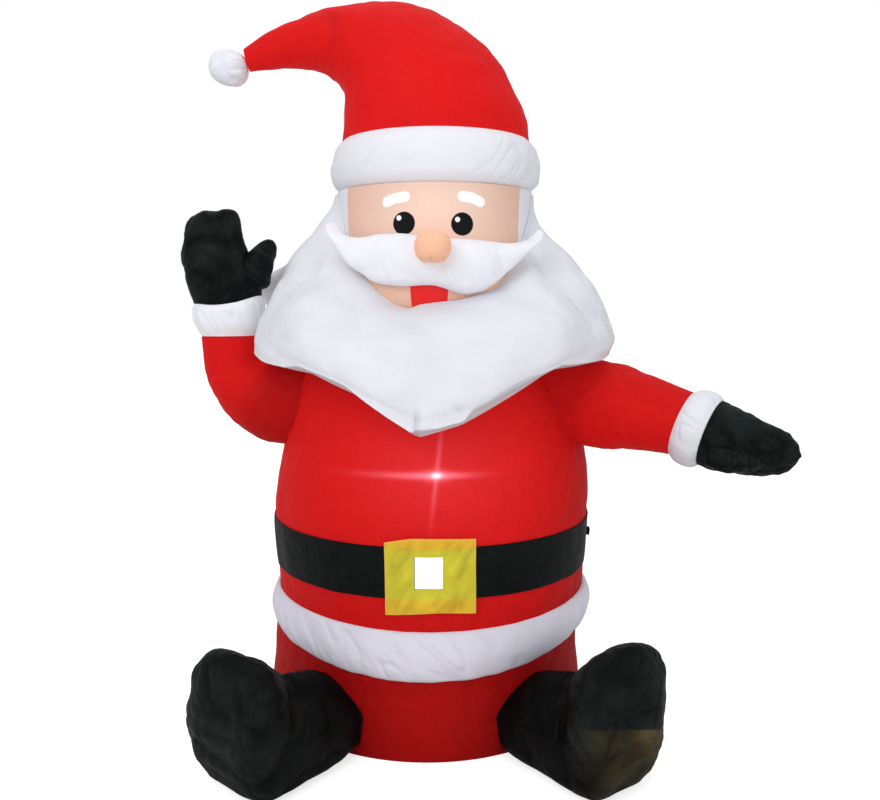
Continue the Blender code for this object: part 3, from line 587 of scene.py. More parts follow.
def sewn(name, points, size, finish, **fields):
    """A bag or band sewn from a grid of points: columns go round, rows run from end to end.

    Its UV map is in metres, centred round the bag, and each field becomes an attribute.
    """
    fields = {"glow": 0.0, "shade": 1.0} | fields
    rows, sides = points.shape[0] - 1, points.shape[1]
    bm = bmesh.new()
    bm.loops.layers.uv.new("weave")
    bmesh.ops.create_grid(bm, x_segments=sides, y_segments=rows, size=0.5, calc_uvs=True)
    mesh = bpy.data.meshes.new(name)
    bm.to_mesh(mesh)
    flat = np.zeros(len(mesh.vertices) * 3, np.float32)
    mesh.vertices.foreach_get("co", flat)
    column = np.rint((flat[0::3] + 0.5) * sides).astype(int) % sides
    row = np.rint((flat[1::3] + 0.5) * rows).astype(int)
    mesh.vertices.foreach_set("co", points[row, column].astype(np.float32).ravel())
    layer = mesh.uv_layers["weave"].data
    uv = np.zeros(len(layer) * 2, np.float32)
    layer.foreach_get("uv", uv)
    uv[0::2] = (uv[0::2] - 0.5) * size[0]
    uv[1::2] *= size[1]
    layer.foreach_set("uv", uv)
    for key, field in fields.items():
        values = np.broadcast_to(field, points.shape[:2])
        attribute = mesh.attributes.new(key, "FLOAT", "POINT")
        attribute.data.foreach_set("value", values[row, column].astype(np.float32))
    bm.clear()
    bm.from_mesh(mesh)
    bmesh.ops.remove_doubles(bm, verts=bm.verts, dist=MERGE)
    bmesh.ops.recalc_face_normals(bm, faces=bm.faces)
    bm.to_mesh(mesh)
    bm.free()
    smoothed(mesh)
    mesh.materials.append(finish)
    piece = bpy.data.objects.new(name, mesh)
    bpy.context.scene.collection.objects.link(piece)
    return piece


def placed(piece, node):
    """The piece stands for its CAD node: it is attached to the body and the node is hidden."""
    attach(piece, BODY)
    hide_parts(node)


def raised(points, relief):
    """The grid of points moved outwards along its own normals by the relief."""
    along = np.gradient(points, axis=0)
    around = (np.roll(points, -1, axis=1) - np.roll(points, 1, axis=1)) / 2
    normal = np.cross(around, along)
    normal /= np.maximum(np.linalg.norm(normal, axis=2, keepdims=True), 1e-9)
    outwards = np.sum(normal * (points - points.mean(axis=(0, 1))))
    return points + normal * math.copysign(1.0, outwards) * relief[..., None]


def capped(points, *fields):
    """The grid and its fields with a flat cap at both ends."""
    ends = [np.broadcast_to(row.mean(axis=0), row.shape)[None] for row in (points[0], points[-1])]
    grid = np.concatenate([ends[0], points, ends[1]])
    wide = [np.broadcast_to(field, points.shape[:2]) for field in fields]
    return grid, *(np.vstack([field[:1], field, field[-1:]]) for field in wide)


def uneven(places, seed):
    """Soft noise, about -0.7 to 0.7, at each of these places, which are counted in folds."""
    shifted = places.reshape(-1, 3) + np.array((3.7, 1.3, 2.1)) * seed
    return np.array([noise.noise(place) for place in shifted.tolist()]).reshape(places.shape[:-1])


def creases(places, seed, sharp=0.10):
    """Creases that start, fork and fade: 0 on smooth cloth and 1 in a crease."""
    fade = eased(uneven(places * 0.6, seed + 40), -0.15, 0.20)
    return bell(uneven(places, seed), 0.0, sharp) * fade


def round_seam(turn, along, count):
    """Places round a closed seam, with this count of folds in a full turn."""
    turn, along = np.broadcast_arrays(turn, along)
    reach = count / TAU
    return np.stack([reach * np.cos(turn), reach * np.sin(turn), along], axis=-1)


def gathered(turn, along, count, seed, sharp=0.10):
    """The relief of cloth gathered into a seam: soft bulges pulled in by creases."""
    places = round_seam(turn, along, count)
    return 0.9 * uneven(places, seed) - creases(places, seed + 1, sharp)


def crumpled(points, grain, seed, octaves=3):
    """The relief of slack cloth: bulges of this size and less between sharp creases."""
    total = 0.0
    for octave in range(octaves):
        share = 0.55**octave
        total = total + share * np.abs(uneven(points / grain * 2**octave, seed + octave))
    return 2.6 * total - 1.0


def add(tree, kind, inputs=(), out=0, **settings):
    """Adds a shader node, sets or links its inputs by name or place, and gives one output."""
    made = tree.nodes.new("ShaderNode" + kind)
    for key, value in settings.items():
        setattr(made, key, value)
    for key, value in inputs.items() if isinstance(inputs, dict) else enumerate(inputs):
        if isinstance(value, bpy.types.NodeSocket):
            tree.links.new(value, made.inputs[key])
        else:
            made.inputs[key].default_value = value
    return made.outputs[out]


def started(name):
    """A new material, its tree and its shader's inputs."""
    made = bpy.data.materials.new(name)
    made.use_nodes = True
    return made, made.node_tree, made.node_tree.nodes["Principled BSDF"].inputs


def weave(tree):
    """The height of a plain weave: threads drawn as two crossed sets of slubs.

    Real threads are about 0.15 mm apart. They are drawn about ten times as coarse, to show.
    """
    size = sizes()
    at = add(tree, "UVMap", uv_map="weave")
    sets = []
    for across, along in ((size.thread, size.slub), (size.slub, size.thread)):
        laid = add(tree, "Mapping", {"Vector": at, "Scale": (1 / across, 1 / along, 1)})
        sets.append(add(
            tree, "TexNoise", {"Vector": laid, "Scale": 1.0, "Detail": 2.0},
            out="Fac", noise_dimensions="2D",
        ))
    return add(tree, "Math", sets, operation="MAXIMUM")


def toned(tree, tint, height, spread):
    """The tint, lighter and darker with the weave, its mottling and the piece's painted light and
    shade.
    """
    at = add(tree, "TexCoord", out="Object")
    mottle = add(tree, "TexNoise", {
        "Vector": at, "Scale": 1 / MOTTLE_SIZE, "Detail": 6.0, "Roughness": 0.68,
    }, out="Fac")
    both = add(tree, "Math", (mottle, 0.8, height), operation="MULTIPLY_ADD")
    tone = add(tree, "MapRange", {
        "Value": both, "From Min": 0.60, "From Max": 1.30,
        "To Min": 1 - spread, "To Max": 1 + spread,
    })
    shade = add(tree, "Attribute", out="Fac", attribute_name="shade")
    level = add(tree, "Math", (tone, shade), operation="MULTIPLY")
    return add(tree, "VectorMath", {0: tint, "Scale": level}, operation="SCALE")


def bumped(tree, height, creasing):
    """The weave's bump over fine loose creases."""
    at = add(tree, "TexCoord", out="Object")
    fine = add(tree, "TexNoise", {
        "Vector": at, "Scale": 1 / CREASE_SIZE, "Detail": 4.0, "Roughness": 0.55,
        "Distortion": 0.5,
    }, out="Fac")
    under = add(tree, "Bump", {"Height": fine, "Strength": 1.0, "Distance": creasing})
    return add(tree, "Bump", {
        "Height": height, "Strength": 0.6, "Distance": sizes().weave_depth, "Normal": under,
    })


def taffeta(
    name, tint, roughness, gloss, creasing, spread, glow=None, print_on=None, light_on=None,
):
    """Woven polyester taffeta, about 0.1 mm thick and coated inside to hold air.

    The eye sees a fine crossed grain, a low satin gloss, small pulled creases, and where a
    lamp is lit behind it, its colour glowing through; on some pieces the same glow is painted
    light.
    """
    made, tree, shader = started(name)
    height = weave(tree)
    tint = print_on(tree) if print_on else tuple(tint)
    tree.links.new(toned(tree, tint, height, spread), shader["Base Color"])
    tree.links.new(bumped(tree, height, creasing), shader["Normal"])
    shader["Roughness"].default_value = roughness
    shader["Specular IOR Level"].default_value = gloss
    if glow:
        lit = add(tree, "Attribute", out="Fac", attribute_name="glow")
        light = add(tree, "VectorMath", {0: tuple(glow), "Scale": lit}, operation="SCALE")
        light = light_on(tree, light) if light_on else light
        tree.links.new(light, shader["Emission Color"])
        shader["Emission Strength"].default_value = 1.0
    return made


def webbing():
    """Flat polyester webbing: ribs about 1 mm apart, and no gloss."""
    made, tree, shader = started("webbing_black")
    at = add(tree, "UVMap", uv_map="weave")
    ribs = add(tree, "TexWave", {"Vector": at, "Scale": 1 / RIB_SPACING / TAU, "Distortion": 0.5},
               out="Fac", bands_direction="Y")
    tree.links.new(toned(tree, tuple(colours().black), ribs, 0.3), shader["Base Color"])
    bump = add(tree, "Bump", {"Height": ribs, "Strength": 0.6, "Distance": 0.0003})
    tree.links.new(bump, shader["Normal"])
    shader["Roughness"].default_value = 0.85
    shader["Specular IOR Level"].default_value = 0.10
    return made


def red_taffeta(name="taffeta_red", light_on=None):
    """Red taffeta, a little mottled, with the lamp's light coming through it, and on some pieces
    painted light and shade in that glow.
    """
    shade = colours()
    return taffeta(name, shade.red, 0.62, 0.07, 0.0010, 0.16, shade.red_glow, light_on=light_on)


def white_taffeta(name="taffeta_white", tint=None, creasing=0.0012):
    """White taffeta, the smoothest and glossiest to the eye."""
    return taffeta(name, tint or colours().white, 0.70, 0.18, creasing, 0.018, SOFT_WHITE)


def black_taffeta(name="taffeta_black", print_on=None):
    """Black taffeta, the most creased, which lets no light through."""
    return taffeta(name, colours().black, 0.50, 0.07, 0.0030, 0.45, print_on=print_on)


def spot(tree, first, second, middle, reach):
    """A soft spot round a middle, which falls off by these reaches in two directions."""
    parts = []
    for value, centre, width in zip((first, second), middle, reach):
        offset = add(tree, "Math", (value, -centre), operation="ADD")
        offset = add(tree, "Math", (offset, 1 / width), operation="MULTIPLY")
        parts.append(add(tree, "Math", (offset, offset), operation="MULTIPLY"))
    away = add(tree, "Math", parts, operation="ADD")
    away = add(tree, "Math", (away, -1.0), operation="MULTIPLY")
    return add(tree, "Math", (away,), operation="EXPONENT")


def between(tree, value, low, high, edge):
    """1 between two places along a value and 0 past them, with a soft edge."""
    up = add(tree, "MapRange", {"Value": value, "From Min": low - edge, "From Max": low + edge})
    down = add(tree, "MapRange", {
        "Value": value, "From Min": high - edge, "From Max": high + edge,
        "To Min": 1.0, "To Max": 0.0,
    })
    return add(tree, "Math", (up, down), operation="MULTIPLY")


def painted(tree, under, layers):
    """Colours laid over a colour in turn, each by its own share."""
    for share, over in layers:
        under = add(tree, "Mix", {0: share, 6: under, 7: (*over, 1.0)}, out=2, data_type="RGBA")
    return under


def stroke(tree, at, points, radius):
    """1 inside a rounded stroke through points of the face, with a crisp edge."""
    nearest = None
    for start, end in zip(points, points[1:] or points):
        reach = Vector((end[0] - start[0], end[1] - start[1], 0.0))
        offset = add(tree, "VectorMath", (at, (*start, 0.0)), operation="SUBTRACT")
        if reach.length:
            along = add(tree, "VectorMath", (offset, tuple(reach / reach.length_squared)),
                        out="Value", operation="DOT_PRODUCT")
            along = add(tree, "Clamp", {"Value": along})
            along = add(tree, "VectorMath", {0: tuple(reach), "Scale": along}, operation="SCALE")
            offset = add(tree, "VectorMath", (offset, along), operation="SUBTRACT")
        away = add(tree, "VectorMath", (offset,), out="Value", operation="LENGTH")
        nearest = add(tree, "Math", (nearest, away), operation="MINIMUM") if nearest else away
    return add(tree, "MapRange", {
        "Value": nearest, "From Min": radius - PRINT_EDGE, "From Max": radius + PRINT_EDGE,
        "To Min": 1.0, "To Max": 0.0,
    })


def face_places(tree):
    """Places on the face: length round the head, height, and both as one vector."""
    s = add(tree, "SeparateXYZ", (add(tree, "UVMap", uv_map="weave"),), out="X")
    z = add(tree, "SeparateXYZ", (add(tree, "TexCoord", out="Object"),), out="Z")
    return s, z, add(tree, "CombineXYZ", (s, z))


def face_print(tree):
    """The face's print: flesh between white hair, with brows, eyes and a mouth, and painted shade
    towards the sides of the head.
    """
    shade = colours()
    s, z, at = face_places(tree)
    wide = add(tree, "Math", (s, FACE_MIDDLE), operation="SUBTRACT")
    wide = add(tree, "Math", (wide,), operation="ABSOLUTE")
    slanted = add(tree, "Math", (z, -FACE_SLANT, wide), operation="MULTIPLY_ADD")
    # Painted shade: the flesh darkens towards the sides of the head
    sides = add(tree, "MapRange", {"Value": wide, "From Min": 0.070, "From Max": 0.165})
    chin = between(tree, z, 0.600, CHIN_Z, 0.010)
    flesh = painted(tree, (*shade.flesh, 1.0), (
        (add(tree, "Math", (sides, 0.55), operation="MULTIPLY"), FACE_SIDE_SHADE),
        (add(tree, "Math", (spot(tree, s, z, (0.0, 0.790), (0.060, 0.022)), 0.40),
             operation="MULTIPLY"), FACE_BLUSH),
        (add(tree, "Math", (chin, 0.85), operation="MULTIPLY"), FACE_CHIN),
    ))
    hair = add(tree, "MapRange", {
        "Value": slanted, "From Min": FACE_HALF - PRINT_EDGE, "From Max": FACE_HALF + PRINT_EDGE,
    })
    mouth = between(tree, s, *MOUTH_ACROSS, PRINT_EDGE)
    mouth = add(tree, "Math", (mouth, chin), operation="MULTIPLY")
    layers = [(hair, shade.white), (mouth, shade.mouth)]
    layers += [(stroke(tree, at, points, BROW_HALF), SOFT_WHITE) for points in BROWS]
    layers += [(stroke(tree, at, [eye], EYE_RADIUS), shade.ink) for eye, _ in EYES]
    layers += [(stroke(tree, at, [glint], GLINT_RADIUS), (1.0, 1.0, 1.0)) for _, glint in EYES]
    return painted(tree, flesh, layers)


def face_light(tree, light):
    """The face's glow, which the printed eyes hold back."""
    at = face_places(tree)[2]
    eyes = [stroke(tree, at, [eye], EYE_RADIUS) for eye, _ in EYES]
    dark = add(tree, "Math", eyes, operation="MAXIMUM")
    clear = add(tree, "Math", (1.0, dark), operation="SUBTRACT")
    return add(tree, "VectorMath", {0: light, "Scale": clear}, operation="SCALE")


def buckle_print(tree):
    """The yellow of the buckle, more orange in the doubled strips along its edges."""
    shade = colours()
    at = add(tree, "TexCoord", out="Object")
    x, z = (add(tree, "SeparateXYZ", (at,), out=axis) for axis in ("X", "Z"))
    across = between(tree, x, *BUCKLE_HIGH_ACROSS)
    low = between(tree, z, *BUCKLE_LOW_STRIP)
    high = between(tree, z, *BUCKLE_HIGH_STRIP)
    high = add(tree, "Math", (high, across), operation="MULTIPLY")
    left = between(tree, x, *BUCKLE_LEFT_STRIP)
    edge = add(tree, "Attribute", out="Fac", attribute_name="edge")
    layers = [
        (add(tree, "Math", (strip, share), operation="MULTIPLY"), shade.orange)
        for strip, share in zip((low, high, left), BUCKLE_STRIP_SHARES)
    ]
    return painted(tree, (*shade.yellow, 1.0), [*layers, (edge, BUCKLE_EDGE)])


def brown_patch_print(tree):
    """The left boot's black with a brown patch on its outer low side."""
    at = add(tree, "TexCoord", out="Object")
    x = add(tree, "SeparateXYZ", (at,), out="X")
    level = add(tree, "VectorMath", (at, (0.0, BROWN_SLOPE, 1.0)), out="Value",
                operation="DOT_PRODUCT")
    below = between(tree, level, -9.0, BROWN_LEVEL, BROWN_EDGE)
    start, end = BROWN_ACROSS
    outer = add(tree, "MapRange", {"Value": x, "From Min": start, "From Max": end})
    share = add(tree, "Math", (below, outer), operation="MULTIPLY")
    return painted(tree, (*colours().black, 1.0), ((share, BROWN_PATCH),))


def lamp_light(tree, light):
    """The coat's glow, with the lamp's bright point and its short streaks along the threads."""
    size = sizes()
    at = add(tree, "TexCoord", out="Object")
    x, y, z = (add(tree, "SeparateXYZ", (at,), out=axis) for axis in "XYZ")
    leaning = add(tree, "Math", (z, -LAMP_TILT, x), operation="MULTIPLY_ADD")
    leaning_middle = size.lamp_x - LAMP_TILT * size.lamp_z
    front = add(tree, "Math", (y, 0.0), operation="LESS_THAN")
    for upright_part, offset, reach, strength, tone in LAMP_PARTS:
        across, middle = (leaning, leaning_middle) if upright_part else (x, size.lamp_x)
        level = spot(tree, across, z, (middle + offset, size.lamp_z), reach)
        level = add(tree, "Math", (level, strength), operation="MULTIPLY")
        level = add(tree, "Math", (level, front), operation="MULTIPLY")
        part = add(tree, "VectorMath", {0: tone, "Scale": level}, operation="SCALE")
        light = add(tree, "VectorMath", (light, part), operation="ADD")
    return light


def puckered(azimuth, z, middle, seed, reach, fan, count, spread):
    """The relief of folds that fan out round the seam where another bag joins the body."""
    across, up = azimuth - middle[0], z - middle[1]
    away = np.hypot(across / reach[0], up / reach[1])
    turn = np.arctan2(up, np.radians(across) * fan)
    return 0.9 * gathered(turn, away * 1.5, count, seed) * bell(away, 1.05, spread)


def make_body():
    """The red column, gathered over the boots, at the hem and at the foot."""
    sides, rows = 440, 170
    azimuth = round_the_column(sides)
    turn = np.radians(azimuth)
    z = np.linspace(0.0, NECK_Z, rows)[:, None]
    points = upright(azimuth, body_radius(z), z)
    hem_low, hem_high = hem_edges(azimuth)

    # Gathers at the seams, from the foot upwards, then round the boots and the armpits
    foot = 0.5 * gathered(turn, z / 0.05, 60, 1) * np.exp(-z / 0.035)
    under_hem = 0.6 * gathered(turn, z / 0.06, 60, 3) * eased(z, hem_low - 0.050, hem_low)
    above_hem = 1 - eased(z, hem_high, hem_high + 0.020)
    above_hem = 0.4 * gathered(turn, z / 0.05, 60, 5) * above_hem
    over_belt = np.exp(-np.abs(z - BELT_Z - BELT_HEIGHT) / 0.018)
    waist = 0.5 * gathered(turn, z / 0.05, 56, 7) * over_belt
    seam = -0.7 * sum(bell(azimuth, side, 0.9) for side in (-180, 180, -97, 97))
    boots = sum(
        puckered(azimuth, z, (side, BOOT_PUCKER_Z), 9, *BOOT_PUCKERS)
        for side in (-BOOT_AZIMUTH, BOOT_AZIMUTH)
    )
    armpits = sum(
        puckered(azimuth, z, middle, seed, *ARMPIT_PUCKERS)
        for seed, middle in enumerate(ARMPITS, 13)
    )
    relief = sizes().gather * (foot + under_hem + above_hem + waist + seam + boots + armpits)

    # Soft unevenness, then the places that stand out or in
    relief = relief + 0.0035 * uneven(points / 0.140, 17) + 0.0012 * uneven(points / 0.050, 18)
    left, right = (bell(azimuth, *flank) for flank in (LEFT_FLANK, RIGHT_FLANK))
    relief = relief + WAIST_OUT * left * bell(z, *WAIST_AT)
    lean = FOOT_LEAN[0] * right - FOOT_LEAN[1] * left
    relief = relief + lean * (1 - eased(z, *FOOT_LEAN_TO))
    shoulder = SHOULDER_OUT * bell(azimuth, *SHOULDER_AZIMUTHS) * bell(z, *SHOULDER_AT)
    relief = relief + shoulder * (1 - eased(z, *SHOULDER_TO))

    # Nothing stands out under the belt or the hem, or at either end
    held = 1 - eased(z, BELT_Z - 0.012, BELT_Z - 0.002) * (1 - eased(z, *BELT_CLEAR))
    below_edge = 1 - eased(z, hem_high - 0.008, hem_high)
    held = held * (1 - eased(z, hem_low, hem_low + 0.008) * below_edge)
    held = held * eased(z, 0.0, 0.012) * (1 - 0.7 * eased(z, 0.55, 0.60))
    points = raised(points, relief * held)

    # The lamp's glow is strongest on the belly. Painted shade: the glow is weaker on the left side,
    # and the foot, the left side, the cloth round the boots and a band under the hem are darker
    middle = bell(azimuth, 4, 60) * bell(z, 0.430, 0.150)
    glow = 0.20 + 0.07 * eased(z, 0.24, 0.42) + 0.12 * middle
    glow = glow * eased(z, 0.02, 0.26) * (1 - 0.55 * one_side(azimuth, 25, 75))
    dark = 1 - 0.16 * (1 - eased(z, 0.10, 0.26)) - 0.22 * one_side(azimuth, 30, 80)
    for side in (-BOOT_AZIMUTH, BOOT_AZIMUTH):
        dark = dark - 0.35 * bell(azimuth, side, 21.0) * bell(z, 0.06, 0.090)
    dark = dark - 0.10 * bell(z, hem_low - 0.004, 0.018)
    points, glow, dark = capped(points, glow, dark)
    piece = sewn("body_coat", points, (TAU * 0.265, NECK_Z),
                 red_taffeta("taffeta_red_lit", lamp_light), glow=glow, shade=dark)
    placed(piece, "body")


def hem_edges(azimuth):
    """The hem's lower and upper height, both lifted at the figure's sides."""
    lift = np.sin(np.radians(azimuth)) ** 2
    return HEM_Z + HEM_LIFT_LOW * lift, HEM_Z + HEM_HEIGHT + HEM_LIFT_HIGH * lift


def make_hem():
    """The puffed hem, with slanted creases between its two seams."""
    sides, rows = 620, 34
    azimuth = round_the_column(sides)
    turn = np.radians(azimuth)
    size = sizes()
    low, high = hem_edges(azimuth)
    share = spaced(rows)
    wave = 0.0022 * uneven(round_seam(turn, 0.0, 60), 21)
    z = low + (high - low) * share + wave * (1 - share)
    swell = arch(share, 0.6)
    slant = turn + 0.20 * (share - 0.5) * (1 - 2 * one_side(azimuth, 25, 70))
    edge = np.exp(-share / 0.22) + 0.8 * np.exp(-(1 - share) / 0.16)
    folds = 1.6 * gathered(slant, share * 1.3, 66, 22, 0.13) * (0.55 + 0.55 * edge)
    folds = folds + 1.2 * gathered(slant, share * 2.2, 120, 24, 0.16) * edge
    folds = folds + 0.8 * uneven(round_seam(turn, share * 1.2, 22), 26)
    puff = HEM_THIN + size.hem_puff * swell + size.gather * folds * swell
    puff = puff + 0.0022 * (bell(azimuth, 85, 30) - bell(azimuth, -85, 30)) * swell
    outer = upright(azimuth, body_radius(z) + SEAM_GAP + np.maximum(puff, 0.0012), z)
    back_z = low + (high - low) * np.array([1.0, 0.0])[:, None]
    back = upright(azimuth, body_radius(back_z) + SEAM_GAP, back_z)
    points = np.vstack([outer, back, outer[:1]])
    # Painted shade in the creases and towards both seams, where the puff turns in
    shade = 1 - 0.03 * creases(round_seam(slant, share * 1.3, 66), 23, 0.12) - 0.06 * (1 - swell)
    shade = np.vstack([shade, np.ones((2, sides)), shade[:1]])
    piece = sewn("coat_hem_white", points, (TAU * 0.275, 0.16),
                 white_taffeta("taffeta_hem", colours().hem_white, 0.0020), shade=shade)
    placed(piece, "coat_hem")


def belt_radius(z):
    """The belt's outer radius, which is straight from edge to edge."""
    low, high = (body_radius(edge) + SEAM_GAP for edge in (BELT_Z, BELT_Z + BELT_HEIGHT))
    return low + (high - low) * (z - BELT_Z) / BELT_HEIGHT + BELT_THICK


def make_belt():
    """The black band, its edges a little wavy where they are sewn down."""
    sides, rows = 420, 16
    azimuth = round_the_column(sides)
    turn = np.radians(azimuth)
    share = spaced(rows)
    sideways = 0.30 + 0.70 * eased(np.abs(azimuth), 40, 75)
    wave = 0.0030 * sideways * uneven(round_seam(turn, share * 0.6, 44), 31)
    z = BELT_Z + BELT_HEIGHT * share + wave
    puff = 0.0026 * sideways * uneven(round_seam(turn, share, 40), 33)
    puff = 0.0008 * arch(share) + puff
    edge = 1 - np.exp(-share / 0.05) - np.exp(-(1 - share) / 0.05)
    outer = upright(azimuth, belt_radius(z) + np.maximum(puff, -0.0006) * edge, z)
    back_z = BELT_Z + BELT_HEIGHT * np.array([1.0, 0.0])[:, None]
    back = upright(azimuth, belt_radius(back_z) - BELT_THICK, back_z)
    points = np.vstack([outer, back, outer[:1]])
    # Painted shade: the band is darker on the figure's left side
    piece = sewn("belt_band", points, (TAU * 0.272, 0.17), black_taffeta("taffeta_black_belt"),
                 shade=1 - 0.60 * one_side(azimuth, 25, 75))
    placed(piece, "belt")


def make_tab():
    """The little tab of webbing, folded over at its free end."""
    turn, share = full_turn(24), spaced(12)
    wide, tall = squared(np.cos(turn), 0.4), squared(np.sin(turn), 0.4)
    end = np.clip((1 - share) * 8, 0, 1) ** 0.5 * np.clip(share * 20, 0, 1)
    z = TAB_Z + TAB_HALF_HEIGHT + TAB_HALF_HEIGHT * tall * end - 0.0020 * share
    radius = belt_radius(z) + 0.0003 + TAB_LENGTH * share
    half = np.degrees(TAB_HALF_WIDTH / BELT_RADIUS)
    points = upright(TAB_AZIMUTH + half * wide * end, radius, z)
    piece = sewn("belt_tab", points, (0.04, 0.010), webbing())
    placed(piece, "tether_tab")


def buckle_back(z):
    """The radius of the buckle's back, which stands off the belt."""
    return belt_radius(z) + BUCKLE_STAND_OFF


def buckle_height(along, up):
    """Heights on the buckle, whose upper and lower edges aren't quite straight."""
    top, foot = (smooth(edge, along) for edge in (BUCKLE_TOP, BUCKLE_FOOT))
    return BUCKLE_Z + BUCKLE_HEIGHT * up + up * top + (1 - up) * foot


def make_buckle():
    """The yellow frame: strips of fabric turned round its window, slightly creased."""
    wide, tall = np.linspace(0, 1, 64), np.linspace(0, 1, 60)
    steps = [(a, 0.0) for a in wide[:-1]] + [(1.0, u) for u in tall[:-1]]
    steps += [(a, 1.0) for a in wide[:0:-1]] + [(0.0, u) for u in tall[:0:-1]]
    steps = np.array(steps + steps[:1])
    across, up = steps[:, :1], steps[:, 1:]
    outer_az, inner_az = (
        start + (end - start) * across for start, end in (BUCKLE_AZIMUTHS, WINDOW_AZIMUTHS)
    )
    outer_az = outer_az - BUCKLE_TAPER * across * up
    outer_z, inner_z = buckle_height(across, up), WINDOW_Z + WINDOW_HEIGHT * up
    inwards = np.concatenate([[0.0], np.linspace(0, 1, 26), [1.0, 0.5]])[None, :]
    front = np.concatenate([[0.0], np.ones(26), [0.0, 0.0]])[None, :]
    azimuth = outer_az + (inner_az - outer_az) * inwards
    z = outer_z + (inner_z - outer_z) * inwards
    points = upright(azimuth, buckle_back(z) + BUCKLE_THICK * front, z)

    # Creases that run slantwise over the frame, which is flat at its edges
    slanted = (points * (1.0, 0.0, 1.0)) @ np.array(BUCKLE_SLANT)
    folds = creases(slanted / (0.030, 1.0, 0.014), 35, 0.14)
    edge = arch(inwards, 0.5) * front
    lift = 0.0034 * np.abs(uneven(slanted / (0.034, 1.0, 0.015), 35)) * edge
    lift = lift + 0.0008 * folds * edge
    bow = uneven(joined(azimuth / 6, z / 0.03, 0.0), 37)
    bow = 0.0012 * bow * (1 - inwards) * front
    turn = np.radians(azimuth)
    outward = joined(np.sin(turn), -np.cos(turn), 0.0)
    points = points + (lift + bow)[..., None] * outward
    # Painted light and shade: lighter and darker bands along the slanted creases
    soft = uneven(slanted / (0.030, 1.0, 0.014), 36)
    shade = 1 + 0.26 * soft * edge - 0.12 * folds * edge
    turned_edge = 0.8 * np.exp(-inwards / 0.035) * (1 + 0 * z)
    piece = sewn("buckle_frame", points, (0.05, 0.40), taffeta(
        "taffeta_yellow", colours().yellow, 0.60, 0.20, 0.0010, 0.05, print_on=buckle_print),
        shade=shade, edge=turned_edge)
    placed(piece, "buckle")


def make_buckle_patch():
    """The white patch in the window, cut a little short of it."""
    steps = 14
    share = spaced(steps)
    across = np.concatenate([[0.0], np.linspace(0, 1, steps), [1.0, 0.5]])[None, :]
    front = np.concatenate([[0.0], np.ones(steps), [0.0, 0.0]])[None, :]
    gap = np.degrees(WINDOW_GAP / BELT_RADIUS)
    low, high = WINDOW_AZIMUTHS[0] + 2.6 * gap, WINDOW_AZIMUTHS[1] - gap
    azimuth = low + (high - low) * across + 0 * share
    z = WINDOW_Z + 0.0012 + (WINDOW_HEIGHT - 0.0020) * share + 0 * across
    points = upright(azimuth, buckle_back(z) + PATCH_THICK * front, z)
    middle, half = (low + high) / 2, PATCH_THICK / 2
    foot, top = (upright(middle, buckle_back(z[row]) + half, z[row : row + 1]) for row in (0, -1))
    points = np.vstack([foot, points, top])
    # Painted light: the patch is given a glow that brightens it
    piece = sewn("buckle_patch", points, (0.09, 0.05),
                 white_taffeta("taffeta_patch", colours().patch), glow=0.40)
    placed(piece, "buckle_centre")


def turned(outline, base, count, sides):
    """A grid turned round the column from an outline: its azimuths, heights and points."""
    azimuth = round_the_column(sides)
    height = np.linspace(outline[0][0], outline[-1][0], count)[:, None]
    return azimuth, height, upright(azimuth, smooth(outline, height), base + height)


def make_head():
    """The head: flesh taffeta at the front between white hair panels, with the printed face."""
    azimuth, height, points = turned(HEAD_OUTLINE, HEAD_Z, 80, 280)
    points = raised(points, 0.0018 * uneven(points / 0.080, 41) * eased(height, 0.0, 0.02))
    glow = 0.02 + 0.13 * bell(azimuth, 0, 24) * bell(height, 0.175, 0.050)
    points, glow = capped(points, glow)
    piece = sewn("head_face", points, (TAU * HEAD_RADIUS, 0.22), taffeta(
        "taffeta_face_print", colours().flesh, 0.70, 0.14, 0.0008, 0.025, (1.0, 0.90, 0.86),
        print_on=face_print, light_on=face_light), glow=glow)
    placed(piece, "head")


def make_trim():
    """The hat's puffed white band, creased slantwise from seam to seam."""
    azimuth, height, points = turned(TRIM_OUTLINE, TRIM_Z, 44, 420)
    turn = np.radians(azimuth)
    share = height / TRIM_OUTLINE[-1][0]
    slant = turn - 0.30 * (share - 0.5)
    edge = np.exp(-share / 0.20) + np.exp(-(1 - share) / 0.20)
    sideways = 0.45 + 0.75 * one_side(azimuth, 5, 40) + 0.3 * one_side(-azimuth, 40, 70)
    folds = gathered(slant, share * 1.1, 40, 51, 0.12) * (0.35 + 0.5 * edge) * sideways
    folds = folds + 0.5 * gathered(slant, share * 2.0, 80, 53, 0.16) * edge
    folds = folds + 0.8 * uneven(round_seam(turn, share, 14), 55)
    flat = bell(azimuth, 84, 24) + bell(azimuth, -84, 24) * eased(share, 0.4, 0.6)
    relief = sizes().gather * 0.9 * folds - 0.0026 * flat
    points = raised(points, relief * arch(share, 0.4))
    # Painted shade in the creases, and painted light: a glow that is strongest at the front
    shade = 1 - 0.05 * creases(round_seam(slant, share * 1.1, 40), 52, 0.12) * sideways
    points, shade = capped(points, shade)
    glow = 0.02 + 0.04 * bell(azimuth, 0, 50)
    piece = sewn("hat_trim_white", points, (TAU * 0.175, 0.11), white_taffeta(),
                 shade=shade, glow=glow)
    placed(piece, "hat_trim")


def softened(table, at, spread):
    """Values of a table of corners, each corner rounded off over this spread."""
    return sum(straight(table, at + step * spread) for step in (-1.0, -0.5, 0.0, 0.5, 1.0)) / 5


def gusset_share(azimuth):
    """Where the beard's gusset begins, as a share of its height at each azimuth."""
    return softened(BEARD_GUSSET, azimuth, 0.7)


def beard_lobe(azimuth, share):
    """The full place of the beard behind the raised thumb, from 0 to 1."""
    across, down = BEARD_LOBE_AT
    return bell(azimuth, *across) * bell(share, *down) * eased(share, *BEARD_LOBE_FROM)


